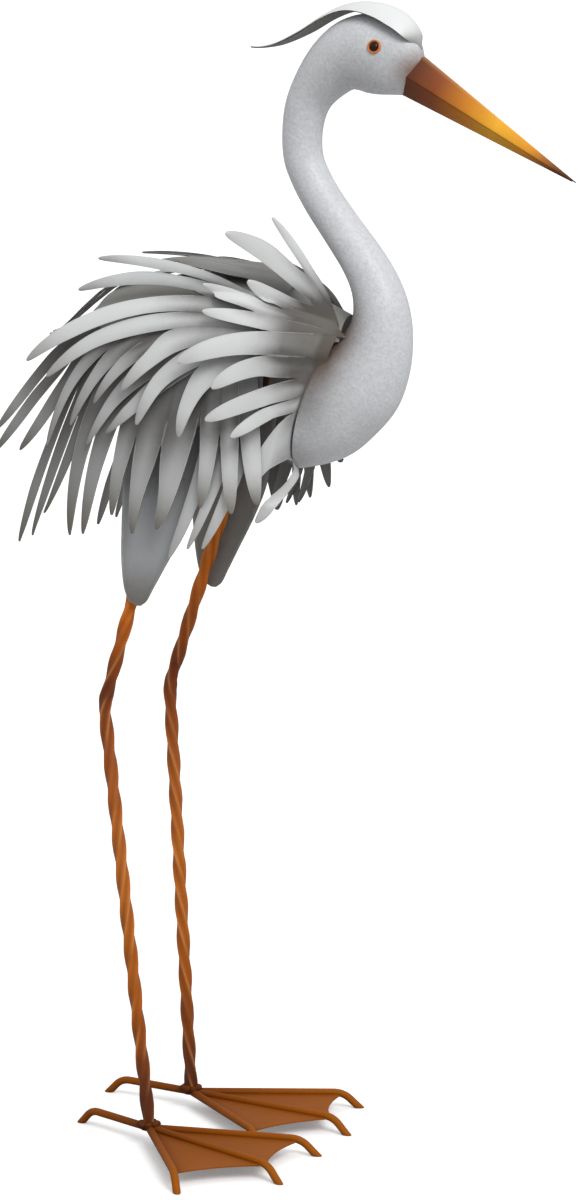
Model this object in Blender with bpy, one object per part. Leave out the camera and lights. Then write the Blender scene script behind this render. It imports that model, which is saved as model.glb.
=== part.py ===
"""Metal heron garden statue: pressed sheet steel, twisted square bar and round rod.

The bird faces +X and its left side is +Y.  Sizes are in metres and angles in degrees.
The feather sheets are combs: one sheet each, slit into curved fingers.
"""
import math

import bpy
import bmesh
from mathutils import Matrix, Vector

# Driving dimensions
FIT_GAP = 0.0003          # clearance between two pieces that touch
SHEET = 0.0012            # feather, crest, thigh and web sheet
SHELL_WALL = 0.0016       # wall of the hollow breast
SADDLE_WALL = 0.0014      # sheet over the back

LEG_SPREAD = 0.0603       # from the middle plane to a leg's axis
LEG_BAR = 0.0095          # side of the square leg bar
LEG_TWIST_PITCH = 0.132   # length of a full turn of the bar
LEG_TWIST_STEP = 30.0     # turn from one ring of the bar to the next
LEG_CORNER = 0.94         # the bar's rounded corners reach this share of a sharp corner
KNEE_BEND = 0.022         # length of bar taken up by the bend at the knee
HIP_SPREAD = 0.0430       # the same at the bar's upper end, under the saddle
HIP_RISE = 0.0360         # height of the bar's upper end over the shoulder
KNEE_HEIGHT = 0.390

TOE_ROD = 0.0068          # diameter of the toe rods
TOE_HEIGHT = 0.0145       # height of the toe rods' axes
TOE_TIP_REACH = 0.0149    # how far a bent tip runs beyond its bend
TOE_BEND = 0.006          # length of rod taken up by a toe's bend, on either side of it
TOE_SIDES = 8
MIDDLE_TOE = 0.1542
SIDE_TOE = 0.1387
BACK_TOE = 0.0778
TOE_SPREAD = 32.2         # angle between the middle toe and a side toe
TOE_BEND_CUT = 0.15       # how far a bend cuts its corner, as a share of its length
WEB_SAG = 0.10            # hollow of the web's front edge, as a share of its width
WEB_STEPS = 6             # pieces of each hollow edge
WEB_START = 0.004         # the web starts this far in front of the leg's axis
WEB_DROP = 0.30           # the web lies this share of the rods' diameter under their axes
ANKLE_WELD_RADIUS = 0.0095
ANKLE_WELD_TOP = 0.0195
WELD_SIDES = 12

NECK_SIDES = 24
EYE_RADIUS = 0.0058
EYE_SIDES = 20
EYE_SEAT_DEPTH = 0.0016
EYE_PLACE = (0.1370, 0.0210, 0.2625)      # of the left eye
EYE_LOOK = (0.18, 1.0, 0.24)              # the way it looks
EYE_CUTTER = 0.010        # the tool that cuts an eye's seat stands out this far

SHOULDER = 0.700          # height at which the body's sides turn upright; the upper bird goes with it
SADDLE_HEM = 0.015        # height of the saddle's side edges over the shoulder
ROOF_LIMIT = 0.80         # the combs follow the back up to this share of its rise
PROBE = 0.002             # distance over which the body's slope is read
SEAT_GAP = 0.0009         # clearance of the first sheet over the faceted saddle
LAYER_STEP = 0.0028       # from one feather sheet to the next where they are fixed
STATIONS = (0.0, 0.12, 0.26, 0.42, 0.58, 0.74, 0.88, 1.0)   # places along a feather
COLLAR_TURN_TOP = 0.006   # above this height over the shoulder the collar lies on the back
COLLAR_TURN = 0.018       # height in which the collar passes from the back into the breast's rim
COLLAR_LEAVES = 0.3       # share of a collar feather in which it leaves the rim
RIM_INSET = 0.0012        # the rim's outline is read this far inside its ends
FAN_SHARE = 0.92          # two feathers fill at most this share of the room between their middle lines
FINGER_LEAST = 0.0015     # least half width of a feather where the fan is narrow
SLIT_EASE = 0.35          # share of a feather in which it takes its own width after a slit
FINGER_TAPER = 4          # the higher, the later a feather starts to narrow
FINGER_ROUND = 0.7        # roundness of a feather's end
FINGER_END = 0.22         # share of its width that a feather keeps at its very tip

# Heights (z) in the tables below are measured from the shoulder.

# The neck from the beak's base to the breast's rear rim:
# x, z, angle of the section's long axis, half depth, half width
NECK_SECTIONS = (
    (0.1630, 0.2380, -120, 0.0185, 0.0125),
    (0.1545, 0.2460, -116, 0.0265, 0.0175),
    (0.1390, 0.2520, -105, 0.0308, 0.0215),
    (0.1220, 0.2565, -92, 0.0332, 0.0238),
    (0.1040, 0.2550, -75, 0.0305, 0.0238),
    (0.0885, 0.2465, -52, 0.0262, 0.0225),
    (0.0740, 0.2315, -30, 0.0225, 0.0205),
    (0.0615, 0.2130, -12, 0.0190, 0.0185),
    (0.0565, 0.1920, 0, 0.0174, 0.0174),
    (0.0570, 0.1700, 12, 0.0170, 0.0170),
    (0.0635, 0.1530, 24, 0.0168, 0.0168),
    (0.0765, 0.1320, 33, 0.0170, 0.0170),
    (0.0960, 0.1070, 37, 0.0176, 0.0176),
    (0.1135, 0.0850, 35, 0.0188, 0.0188),
    (0.1255, 0.0660, 25, 0.0206, 0.0206),
    (0.1320, 0.0480, 12, 0.0232, 0.0228),
    (0.1335, 0.0310, 0, 0.0262, 0.0252),
    (0.1305, 0.0135, -16, 0.0307, 0.0280),
    (0.1265, -0.0005, -34, 0.0345, 0.0310),
    (0.1203, -0.0137, -53, 0.0393, 0.0340),
    (0.1103, -0.0247, -70, 0.0438, 0.0365),
    (0.0964, -0.0355, -88, 0.0508, 0.0380),
    (0.0750, -0.0417, -108.7, 0.0592, 0.0380),
)
HOLLOW_SECTIONS = 4       # sections, counted from the rim, that are open inside

# The eye's dome: share of its radius, height
EYE_PROFILE = ((1.0, 0.0004), (0.86, 0.0012), (0.55, 0.0021), (0.2, 0.0026))

# The crest plate from the brow to the plume's point: x, z, half width, droop of the edges
CREST_SECTIONS = (
    (0.1708, 0.2610, 0.0100, 0.0025),
    (0.1668, 0.2755, 0.0170, 0.0075),
    (0.1560, 0.2885, 0.0195, 0.0110),
    (0.1385, 0.2967, 0.0200, 0.0105),
    (0.1175, 0.2994, 0.0180, 0.0080),
    (0.0990, 0.2968, 0.0155, 0.0055),
    (0.0800, 0.2890, 0.0140, 0.0040),
    (0.0580, 0.2765, 0.0125, 0.0032),
    (0.0350, 0.2660, 0.0090, 0.0022),
    (0.0180, 0.2615, 0.0050, 0.0010),
    (0.0060, 0.2608, 0.0012, 0.0002),
)
CREST_COLUMNS = 4

# Beak: base on the head's front section, tip forward and down
BEAK_TIP = (0.3145, 0.1530)
BEAK_HALF_WIDTH = 0.0128
BEAK_RIDGE_HALF = 0.0022
BEAK_KEEL_HALF = 0.0030
UPPER_BEAK_RISE = 0.0190
LOWER_BEAK_DROP = 0.0180
LOWER_BEAK_SHORTER = 0.0035
BEAK_STATIONS = (0.0, 0.12, 0.5, 0.85, 1.0)
BEAK_TAPER = 0.955        # share of its depth and width that a mandible loses on the way to its tip
BEAK_FOLD = 25            # folds sharper than this show as edges

# Body: x, half width of the body, and x, rise of the back's ridge over the shoulder
BODY_WIDTHS = ((-0.250, 0.042), (-0.200, 0.054), (-0.150, 0.063), (-0.100, 0.0675),
               (-0.050, 0.0685), (0.000, 0.0680), (0.025, 0.0620), (0.050, 0.0520),
               (0.075, 0.0380), (0.1035, 0.0220))
BACK_RISE = ((-0.250, 0.015), (-0.150, 0.038), (-0.120, 0.052), (-0.060, 0.065),
             (0.000, 0.068), (0.050, 0.062), (0.075, 0.048), (0.1035, 0.036))
SADDLE_FRONT = 0.1035
SADDLE_REAR = -0.150
SADDLE_ROWS = 11
SADDLE_COLUMNS = 10

# Thigh plate outline from its tip upwards: z, rear x, front x
THIGH_OUTLINE = ((-0.2190, -0.0740, -0.0690), (-0.2150, -0.0805, -0.0635), (-0.2040, -0.0860, -0.0570),
                 (-0.1800, -0.0895, -0.0430), (-0.1520, -0.0905, -0.0265), (-0.1260, -0.0910, -0.0135),
                 (-0.1020, -0.0915, -0.0060), (-0.0600, -0.0915, 0.0025))
THIGH_CROWN = 0.006       # how far the plate's long edges curve in
THIGH_CURL = 4            # the power with which they do, so the middle stays flat
THIGH_GAP = 0.0008        # clearance over the bar's twisting corners
THIGH_COLUMNS = 4

# The weld round the ankle: share of its radius, height
WELD_PROFILE = ((0.85, 0.0118), (1.0, 0.0138), (0.94, 0.0168), (0.74, ANKLE_WELD_TOP))

# Legs and feet of each side: ankle x, knee x, hip x, direction of the middle toe
LEG_PLACES = {
    "right": (-0.0652, -0.1090, -0.0114, -17.0),
    "left": (-0.0951, -0.1162, 0.0150, -3.5),
}


def comb(layers, root, flare, fingers, plate=None):
    """Describe one feather sheet.

    layers: how many sheets lie between this one and the saddle at its root and further on,
    and the share of its length in which it rises over them.
    root: the two ends of the line where the sheet is fixed, each (x, z).
    flare: how much further out its tips stand.
    fingers: for each finger its tip x and z, how far its middle bows up or back from the
    straight line, half its width, the share of its length at which the slit after it ends,
    and how far its tip is bent out.
    plate: number of a broad finger that keeps the slant of the root line to its end.
    """
    return {"layers": layers, "root": root, "flare": flare, "fingers": fingers, "plate": plate}


SIDE_COMBS = {
    "collar": comb(layers=(1, 5, 0.2), root=((0.0915, 0.0210), (0.0545, -0.0940)), flare=0.0100, fingers=(
        (-0.011, -0.002, 0.010, 0.0095, 0.26, 0.0005),
        (0.020, -0.023, 0.010, 0.0082, 0.12, -0.0005),
        (0.015, -0.050, 0.002, 0.0075, 0.12, 0.001),
        (0.036, -0.064, 0.002, 0.0058, 0.12, -0.0005),
        (0.0385, -0.098, 0.000, 0.0180, 0.12, 0.0),
        (0.0445, -0.139, -0.007, 0.0058, 0.0, 0.0)), plate=4),
    "shoulder": comb(layers=(0, 4, 0.5), root=((0.0975, 0.0195), (0.0990, 0.0350)), flare=0.0090, fingers=(
        (0.006, 0.041, 0.002, 0.0065, 0.58, 0.0005),
        (-0.004, 0.062, 0.004, 0.0082, 0.42, 0.001),
        (0.036, 0.066, -0.002, 0.0080, 0.26, 0.000),
        (0.017, 0.106, 0.012, 0.0097, 0.42, 0.001),
        (0.057, 0.120, 0.003, 0.0042, 0.0, 0.000))),
    "upper": comb(layers=(2, 3, 0.1), root=((0.0500, -0.0020), (0.0400, 0.0520)), flare=0.0090, fingers=(
        (-0.014, -0.066, 0.018, 0.0080, 0.42, 0.001),
        (-0.057, -0.058, 0.024, 0.0080, 0.42, 0.000),
        (-0.071, -0.029, 0.019, 0.0080, 0.42, 0.001),
        (-0.152, -0.022, 0.026, 0.0075, 0.26, -0.0005),
        (-0.172, -0.009, 0.026, 0.0085, 0.26, 0.003),
        (-0.134, 0.052, 0.017, 0.0063, 0.26, -0.001),
        (-0.112, 0.080, 0.009, 0.0050, 0.0, 0.000))),
    "middle": comb(layers=(2, 2, 1), root=((0.0200, 0.0020), (0.0000, 0.0480)), flare=0.0070, fingers=(
        (-0.089, -0.067, 0.006, 0.0065, 0.42, 0.0025),
        (-0.112, -0.079, 0.019, 0.0070, 0.42, -0.0005),
        (-0.101, -0.042, 0.017, 0.0060, 0.42, 0.0035),
        (-0.129, -0.063, 0.025, 0.0060, 0.42, 0.000),
        (-0.154, -0.082, 0.034, 0.0052, 0.0, 0.002))),
    "lower": comb(layers=(1, 1, 1), root=((0.0450, 0.0160), (-0.0640, 0.0220)), flare=0.0050, fingers=(
        (0.048, -0.123, 0.003, 0.0085, 0.58, 0.000),
        (0.028, -0.131, 0.002, 0.0082, 0.58, 0.0015),
        (0.000, -0.127, -0.003, 0.0082, 0.42, -0.0005),
        (-0.042, -0.148, -0.006, 0.0100, 0.58, 0.002),
        (-0.068, -0.154, 0.010, 0.0080, 0.58, 0.000),
        (-0.088, -0.139, 0.011, 0.0075, 0.42, 0.0015),
        (-0.120, -0.158, 0.014, 0.0080, 0.42, 0.0000),
        (-0.133, -0.160, 0.020, 0.0075, 0.0, 0.0015))),
    "tail": comb(layers=(1, 1, 1), root=((-0.0860, 0.0180), (-0.1230, 0.0240)), flare=0.0040, fingers=(
        (-0.164, -0.143, -0.002, 0.0062, 0.26, 0.000),
        (-0.177, -0.164, 0.003, 0.0060, 0.26, 0.001),
        (-0.194, -0.171, 0.007, 0.0055, 0.12, 0.0000),
        (-0.188, -0.089, -0.004, 0.0060, 0.26, 0.005),
        (-0.217, -0.092, 0.000, 0.0058, 0.26, 0.006),
        (-0.216, -0.073, 0.001, 0.0055, 0.0, 0.005))),
    "belly": comb(layers=(0, 0, 1), root=((0.0500, 0.0140), (0.0120, 0.0140)), flare=0.0020, fingers=(
        (-0.001, -0.163, -0.012, 0.0060, 0.42, 0.000),
        (-0.015, -0.164, -0.011, 0.0055, 0.42, 0.0010),
        (-0.034, -0.173, -0.010, 0.0070, 0.0, 0.0000))),
}

# Feathers of the right side, by number, that are bent in under the next sheet
TUCKED = {"collar": (4, 5)}
TUCKED_LAYER = 0.8        # in sheets over the saddle
TUCKED_START = 0.12       # share of their length at which they start to bend in
TUCKED_EASE = 0.18        # and the share over which they do

# The left side is bent by hand a little differently, and two of its sheets are fixed elsewhere
LEFT_ROOTS = {
    "tail": ((-0.0925, 0.0180), (-0.1260, 0.0240)),
    "shoulder": ((0.0930, 0.0190), (0.0950, 0.0280)),
}
LEFT_SLIT = 0.16          # the left feathers are slit this much less deep, as a share of their length
LEFT_TIPS = {
    "collar": ((-0.011, -0.002), (0.015, -0.023), (0.012, -0.048), (0.028, -0.060), (0.028, -0.080),
               (0.050, -0.088)),
    "shoulder": ((-0.010, 0.003), (-0.034, 0.022), (-0.014, 0.044), (-0.088, 0.071), (0.000, 0.074)),
    "upper": ((-0.014, -0.066), (-0.057, -0.058), (-0.071, -0.029), (-0.145, -0.020), (-0.160, -0.005),
              (-0.134, 0.042), (-0.141, 0.077)),
    "belly": ((0.012, -0.138), (-0.002, -0.140), (-0.018, -0.146)),
    "lower": ((0.046, -0.122), (0.021, -0.134), (0.006, -0.142), (-0.016, -0.148), (-0.045, -0.140),
              (-0.070, -0.148), (-0.100, -0.155), (-0.133, -0.160)),
}

# Feathers along the middle of the back: layer, root x, and for each finger the tip x, y, z
BACK_COMBS = {
    "upper": (2, 0.0600, ((-0.050, -0.030, 0.067), (-0.074, -0.016, 0.067), (-0.086, 0.000, 0.066),
                          (-0.074, 0.016, 0.067), (-0.050, 0.030, 0.067))),
    "rear": (1, -0.0350, ((-0.192, -0.015, 0.002), (-0.198, 0.000, 0.003), (-0.192, 0.015, 0.002))),
}
BACK_FINGER = 0.0068      # half width of a back finger
BACK_SLIT = 0.42
BACK_BED = 1.3            # the back combs lie this many times as high over the saddle as the side combs
BACK_PINCH = 0.15         # share by which their fingers lie closer together at the root
REAR_LEAVES = 0.012       # the rear comb starts to drop this far behind the saddle

PAINT = (0.62, 0.63, 0.64)
PAINT_SHADE = (0.36, 0.36, 0.35)
RUST_ORANGE = (0.52, 0.20, 0.06)
BEAK_ORANGE = (0.72, 0.32, 0.05)
EYE_BROWN = (0.10, 0.035, 0.015)

UP = Vector((0, 0, 1))


def clear_scene():
    for old in list(bpy.data.objects):
        bpy.data.objects.remove(old, do_unlink=True)


def material(name, colour, roughness, metallic=0.0):
    """Return a Principled material of one colour."""
    made = bpy.data.materials.new(name)
    made.use_nodes = True
    shader = made.node_tree.nodes["Principled BSDF"]
    shader.inputs["Base Color"].default_value = (*colour, 1)
    shader.inputs["Roughness"].default_value = roughness
    shader.inputs["Metallic"].default_value = metallic
    made.diffuse_color = (*colour, 1)
    return made


def add_object(name, vertices, faces, finish, smooth_angle=40):
    """Make a mesh object with outward faces, shaded smooth below the given angle."""
    mesh = bpy.data.meshes.new(name)
    mesh.from_pydata([tuple(v) for v in vertices], [], faces)
    shape = bmesh.new()
    shape.from_mesh(mesh)
    bmesh.ops.recalc_face_normals(shape, faces=shape.faces)
    shape.to_mesh(mesh)
    shape.free()
    mesh.shade_smooth()
    mesh.set_sharp_from_angle(angle=math.radians(smooth_angle))
    mesh.materials.append(finish)
    made = bpy.data.objects.new(name, mesh)
    bpy.context.scene.collection.objects.link(made)
    return made


def thicken(sheet, thickness, offset=0.0):
    """Give a sheet its thickness: offset 0 on both sides, -1 inwards, 1 outwards."""
    solidify = sheet.modifiers.new("thickness", "SOLIDIFY")
    solidify.thickness = thickness
    solidify.offset = offset
    solidify.use_rim = True
    return sheet


def cut(target, operation, other):
    """Add an exact Boolean with a hidden helper object."""
    other.hide_render = True
    other.display_type = "WIRE"
    step = target.modifiers.new(operation.lower(), "BOOLEAN")
    step.operation = operation
    step.solver = "EXACT"
    step.object = other


def smooth(t):
    t = min(1.0, max(0.0, t))
    return t * t * (3 - 2 * t)


def read_curve(table, x):
    """Read a smooth curve through (x, value) pairs, sorted by x, with level ends."""
    if x <= table[0][0]:
        return table[0][1]
    for i in range(len(table) - 1):
        (x0, v0), (x1, v1) = table[i], table[i + 1]
        if x <= x1:
            before = table[max(i - 1, 0)]
            after = table[min(i + 2, len(table) - 1)]
            span = x1 - x0
            slope0 = (v1 - before[1]) / (x1 - before[0]) * span
            slope1 = (after[1] - v0) / (after[0] - x0) * span
            t = (x - x0) / span
            return ((2 * t**3 - 3 * t**2 + 1) * v0 + (t**3 - 2 * t**2 + t) * slope0
                    + (-2 * t**3 + 3 * t**2) * v1 + (t**3 - t**2) * slope1)
    return table[-1][1]


def loft(rings):
    """Skin closed rings of equal length and close both ends with a flat face."""
    count = len(rings[0])
    vertices = [point for ring in rings for point in ring]
    faces = []
    for row in range(len(rings) - 1):
        for i in range(count):
            j = (i + 1) % count
            faces.append((row * count + i, row * count + j, (row + 1) * count + j, (row + 1) * count + i))
    faces.append(tuple(range(count)))
    last = (len(rings) - 1) * count
    faces.append(tuple(range(last + count - 1, last - 1, -1)))
    return vertices, faces


def grid(rows):
    """Skin open rows of equal length."""
    width = len(rows[0])
    vertices = [point for row in rows for point in row]
    faces = [(r * width + c, r * width + c + 1, (r + 1) * width + c + 1, (r + 1) * width + c)
             for r in range(len(rows) - 1) for c in range(width - 1)]
    return vertices, faces


# Neck, head and breast

def neck_ring(section, inset=0.0):
    x, z, angle, half_depth, half_width = section
    axis = Vector((math.cos(math.radians(angle)), 0, math.sin(math.radians(angle))))
    ring = []
    for i in range(NECK_SIDES):
        turn = 2 * math.pi * i / NECK_SIDES
        ring.append(Vector((x, 0, SHOULDER + z)) + axis * math.cos(turn) * (half_depth - inset)
                    + Vector((0, math.sin(turn) * (half_width - inset), 0)))
    return ring


def eye_frame(side):
    """Return the place and axis of the eye on one side, +1 left and -1 right."""
    mirror = Vector((1, side, 1))
    place = Vector(EYE_PLACE) * mirror + UP * SHOULDER
    axis = (Vector(EYE_LOOK) * mirror).normalized()
    return Matrix.Translation(place) @ axis.to_track_quat("Z", "Y").to_matrix().to_4x4()


def circle(radius, height, sides, middle=(0, 0)):
    """Return the corners of a level ring round an upright axis."""
    return [Vector((middle[0] + radius * math.cos(2 * math.pi * i / sides),
                    middle[1] + radius * math.sin(2 * math.pi * i / sides), height)) for i in range(sides)]


def make_neck(paint):
    rings = [neck_ring(section) for section in NECK_SECTIONS]
    rings += [neck_ring(section, SHELL_WALL) for section in reversed(NECK_SECTIONS[-HOLLOW_SECTIONS:])]
    neck = add_object("neck_and_breast", *loft(rings), paint)
    for side, label in ((1, "left"), (-1, "right")):
        tool = [circle(EYE_RADIUS + FIT_GAP, height, EYE_SIDES) for height in (-EYE_SEAT_DEPTH, EYE_CUTTER)]
        seat = add_object(label + "_eye_seat", *loft(tool), paint)
        seat.matrix_world = eye_frame(side)
        cut(neck, "DIFFERENCE", seat)
    return neck


def make_eye(side, label, finish):
    profile = ((1.0, FIT_GAP - EYE_SEAT_DEPTH),) + EYE_PROFILE
    rings = [circle(share * EYE_RADIUS, height, EYE_SIDES) for share, height in profile]
    bead = add_object(label + "_eye", *loft(rings), finish)
    bead.matrix_world = eye_frame(side)
    return bead


def make_crest(paint):
    rows = []
    for i, (x, z, half, droop) in enumerate(CREST_SECTIONS):
        before = CREST_SECTIONS[max(i - 1, 0)]
        after = CREST_SECTIONS[min(i + 1, len(CREST_SECTIONS) - 1)]
        along = Vector((after[0] - before[0], 0, after[1] - before[1])).normalized()
        inward = Vector((-along.z, 0, along.x))
        rows.append([Vector((x, half * u, SHOULDER + z)) + inward * droop * u * u
                     for u in (2 * c / CREST_COLUMNS - 1 for c in range(CREST_COLUMNS + 1))])
    return thicken(add_object("crest_plate", *grid(rows), paint), SHEET)


def beak_half(name, finish, top, bottom, top_half, bottom_half, shorter):
    """Make one mandible between two heights above the beak's axis, measured at its base."""
    base = Vector((NECK_SECTIONS[0][0], 0, SHOULDER + NECK_SECTIONS[0][1]))
    tip = Vector((BEAK_TIP[0], 0, SHOULDER + BEAK_TIP[1]))
    angle = math.radians(NECK_SECTIONS[0][2])
    lift = -Vector((math.cos(angle), 0, math.sin(angle)))
    forward = Vector((lift.z, 0, -lift.x))
    reach = (tip - base).dot(forward) - shorter
    drift = (tip - base).dot(lift)
    rings = []
    for share in BEAK_STATIONS:
        taper = 1 - BEAK_TAPER * share
        start = FIT_GAP if share == 0 else 0.0
        centre = base + forward * (start + reach * share) + lift * drift * share
        low = FIT_GAP / 2 if bottom >= 0 else bottom * taper
        high = -FIT_GAP / 2 if top <= 0 else top * taper
        rings.append([centre + lift * height + Vector((0, y * taper, 0)) for height, y in (
            (high, -top_half), (high, top_half), (low, bottom_half), (low, -bottom_half))])
    return add_object(name, *loft(rings), finish, BEAK_FOLD)


# Body

def half_width(x):
    return read_curve(BODY_WIDTHS, x)


def ridge(x):
    """Height of the back's ridge over the shoulder."""
    return read_curve(BACK_RISE, x)


def side_depth(x, z):
    """Distance from the middle plane to the body's side at a place seen from the side."""
    rise = min(ROOF_LIMIT, max(0.0, z / ridge(x)))
    return half_width(x) * math.sqrt(1 - rise * rise)


def slant(x, z):
    """How much longer a distance square to the body's side gets when it is measured along Y."""
    along = (side_depth(x + PROBE, z) - side_depth(x - PROBE, z)) / (2 * PROBE)
    up = (side_depth(x, z + PROBE) - side_depth(x, z - PROBE)) / (2 * PROBE)
    return math.sqrt(1 + along * along + up * up)


def make_saddle(paint):
    rows = []
    for r in range(SADDLE_ROWS):
        x = SADDLE_FRONT + (SADDLE_REAR - SADDLE_FRONT) * r / (SADDLE_ROWS - 1)
        rise = ridge(x)
        edge = math.acos(SADDLE_HEM / rise)
        row = []
        for c in range(SADDLE_COLUMNS + 1):
            turn = edge * (2 * c / SADDLE_COLUMNS - 1)
            row.append(Vector((x, half_width(x) * math.sin(turn), SHOULDER + rise * math.cos(turn))))
        rows.append(row)
    saddle = add_object("body_saddle", *grid(rows), paint)
    flip_to(saddle, UP)
    return thicken(saddle, SADDLE_WALL, -1.0)


def flip_to(thing, direction):
    """Turn the faces of an open sheet so that they look along a direction on the whole."""
    total = Vector((0, 0, 0))
    for face in thing.data.polygons:
        total += face.normal * face.area
    if total.dot(direction) < 0:
        thing.data.flip_normals()


# Feather combs

def finger_width(t):
    """Width of a finger along its length, as a share of its full width."""
    return max(FINGER_END, (1 - t ** FINGER_TAPER) ** FINGER_ROUND)


def finger_line(root, tip, arch):
    """Return places along a finger's middle line and the directions across it, in the side view."""
    chord = tip - root
    rise = Vector((chord.y, -chord.x)).normalized() * arch
    bend = (root + tip) / 2 + rise * 2
    line = []
    for t in STATIONS:
        place = root * (1 - t) ** 2 + bend * 2 * t * (1 - t) + tip * t * t
        ahead = (bend - root) * (1 - t) + (tip - bend) * t
        line.append((place, Vector((-ahead.y, ahead.x)).normalized()))
    return line


def comb_fingers(spec):
    """Work out the two edges of each finger in the side view, and how its tip is bent out.

    Up to the end of a slit two fingers share one edge.  After it each takes its own width.
    """
    start, end = (Vector(place) for place in spec["root"])
    halves = [finger[3] for finger in spec["fingers"]]
    total = 2 * sum(halves)
    lines = []
    done = 0.0
    for x, z, arch, half, _, _ in spec["fingers"]:
        lines.append(finger_line(start.lerp(end, (done + half) / total), Vector((x, z)), arch))
        done += 2 * half
    facing = 1 if lines[0][1][1].dot(end - start) > 0 else -1

    def edge(i, other, slit):
        """One edge of finger i, next to the finger numbered other."""
        turn = 1 if other > i else -1
        has_neighbour = 0 <= other < len(lines)
        apart = (end - start) * (turn * halves[i] / total)
        places = []
        for j, ((place, across), t) in enumerate(zip(lines[i], STATIONS)):
            gap = lines[other][j][0] - place if has_neighbour else None
            if has_neighbour and t <= slit:
                apart = gap * halves[i] / (halves[i] + halves[other])
                places.append(place + apart)
                continue
            half = halves[i]
            if has_neighbour:
                room = abs(gap.dot(across)) * halves[i] / (halves[i] + halves[other])
                half = max(FINGER_LEAST, min(half, FAN_SHARE * room))
            own = across * (half * turn * facing)
            ease = smooth((t - (slit if has_neighbour else 0.0)) / SLIT_EASE) * (i != spec["plate"])
            places.append(place + apart.lerp(own, ease) * finger_width(t))
        return places

    fingers = []
    for i, (_, _, _, _, slit, lift) in enumerate(spec["fingers"]):
        before = spec["fingers"][i - 1][4] if i else 0.0
        fingers.append((edge(i, i - 1, before), edge(i, i + 1, slit), before, slit, lift))
    return fingers


def comb_height(spec, t):
    """Height of a comb over the body's side."""
    at_root, further_on, rise = spec["layers"]
    layers = at_root + (further_on - at_root) * smooth(t / rise)
    return SEAT_GAP + SHEET / 2 + layers * LAYER_STEP + spec["flare"] * t * t


def rim_depth(x, z):
    """Distance from the middle plane to the breast's rear rim."""
    rim_x, rim_z, angle, half_depth, half_width_ = NECK_SECTIONS[-1]
    along = (x - rim_x) * math.cos(math.radians(angle)) + (z - rim_z) * math.sin(math.radians(angle))
    share = min(abs(along), half_depth - RIM_INSET) / half_depth
    return (half_width_ - SHELL_WALL) * math.sqrt(1 - share * share)


def comb_point(part, side, place, t, lift, tucked):
    """Put a place of the side view on its sheet.  The collar starts inside the breast's rim."""
    x, z = place
    height = comb_height(SIDE_COMBS[part], t)
    height += (SEAT_GAP + SHEET / 2 + TUCKED_LAYER * LAYER_STEP - height) * tucked
    out = side_depth(x, z) + slant(x, z) * height + lift
    if part == "collar":
        in_rim = smooth((COLLAR_TURN_TOP - z) / COLLAR_TURN) * (1 - smooth(t / COLLAR_LEAVES))
        out += (rim_depth(x, z) - out) * in_rim
    return Vector((x, side * out, SHOULDER + z))


def left_comb(part, spec):
    """The left side's own version of a feather sheet."""
    tips = LEFT_TIPS.get(part, [finger[:2] for finger in spec["fingers"]])
    fingers = [(*tip, arch, half, slit + LEFT_SLIT, lift)
               for tip, (_, _, arch, half, slit, lift) in zip(tips, spec["fingers"])]
    return {**spec, "root": LEFT_ROOTS.get(part, spec["root"]), "fingers": fingers, "plate": None}


def make_side_comb(part, spec, side, paint):
    """Build one feather sheet: fingers share their edges up to the ends of the slits."""
    if side > 0:
        spec = left_comb(part, spec)
    points, faces = [], []
    last = []
    for number, (low, high, before, slit, lift) in enumerate(comb_fingers(spec)):
        tucked = 1.0 if side < 0 and number in TUCKED.get(part, ()) else 0.0

        def put(place, t, start):
            """Add a point of this finger beside a slit that ends at start."""
            points.append(comb_point(part, side, place, t, lift * smooth((t - start) / SLIT_EASE),
                                     tucked * smooth((t - TUCKED_START) / TUCKED_EASE)))
            return len(points) - 1

        left, right = [], []
        for j, t in enumerate(STATIONS):
            left.append(last[j] if last and t <= before else put(low[j], t, before))
            right.append(put(high[j], t, slit))
        for j in range(len(STATIONS) - 1):
            faces.append((left[j], right[j], right[j + 1], left[j + 1]))
        last = right
    name = ("left_" if side > 0 else "right_") + part + "_comb"
    return thicken(add_object(name, points, faces, paint), SHEET)


def back_point(layer, t, x, y, drop, leaves):
    """Put a place of the top view on a back comb; it drops away once it has left the saddle."""
    bed = SHOULDER + ridge(x) * math.sqrt(1 - (y / half_width(x)) ** 2)
    clear = SEAT_GAP + SHEET / 2 + layer * LAYER_STEP
    return Vector((x, y, bed + clear * BACK_BED + drop * smooth((t - leaves) / (1 - leaves))))


def make_back_comb(name, spec, paint):
    """Build one feather sheet over the ridge of the back."""
    layer, root_x, tips = spec
    fingers = []
    for x1, y1, z1 in tips:
        drop = z1 - ridge(x1) * math.sqrt(1 - (y1 / half_width(x1)) ** 2)
        leaves = BACK_SLIT
        if drop < 0:
            leaves = (SADDLE_REAR - REAR_LEAVES - root_x) / (x1 - root_x)
        edges = []
        for t in STATIONS:
            half = BACK_FINGER * finger_width(t)
            y = y1 * (1 - BACK_PINCH * (1 - t))
            x = root_x + (x1 - root_x) * t
            edges.append((t, x, y - half, y + half, drop, leaves))
        fingers.append(edges)
    vertices, faces, columns = [], [], []
    for i, edges in enumerate(fingers):
        left, right = [], []
        for j, (t, x, low, high, drop, leaves) in enumerate(edges):
            if i > 0 and t <= BACK_SLIT:
                left.append(columns[i - 1][1][j])
            else:
                left.append(len(vertices))
                vertices.append(back_point(layer, t, x, low, drop, leaves))
            if i + 1 < len(fingers) and t <= BACK_SLIT:
                other = fingers[i + 1][j]
                high = (high + other[2]) / 2
                x = (x + other[1]) / 2
            right.append(len(vertices))
            vertices.append(back_point(layer, t, x, high, drop, leaves))
        columns.append((left, right))
        for j in range(len(STATIONS) - 1):
            faces.append((left[j], right[j], right[j + 1], left[j + 1]))
    return thicken(add_object(name, vertices, faces, paint), SHEET)


# Thighs, legs and feet

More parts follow.
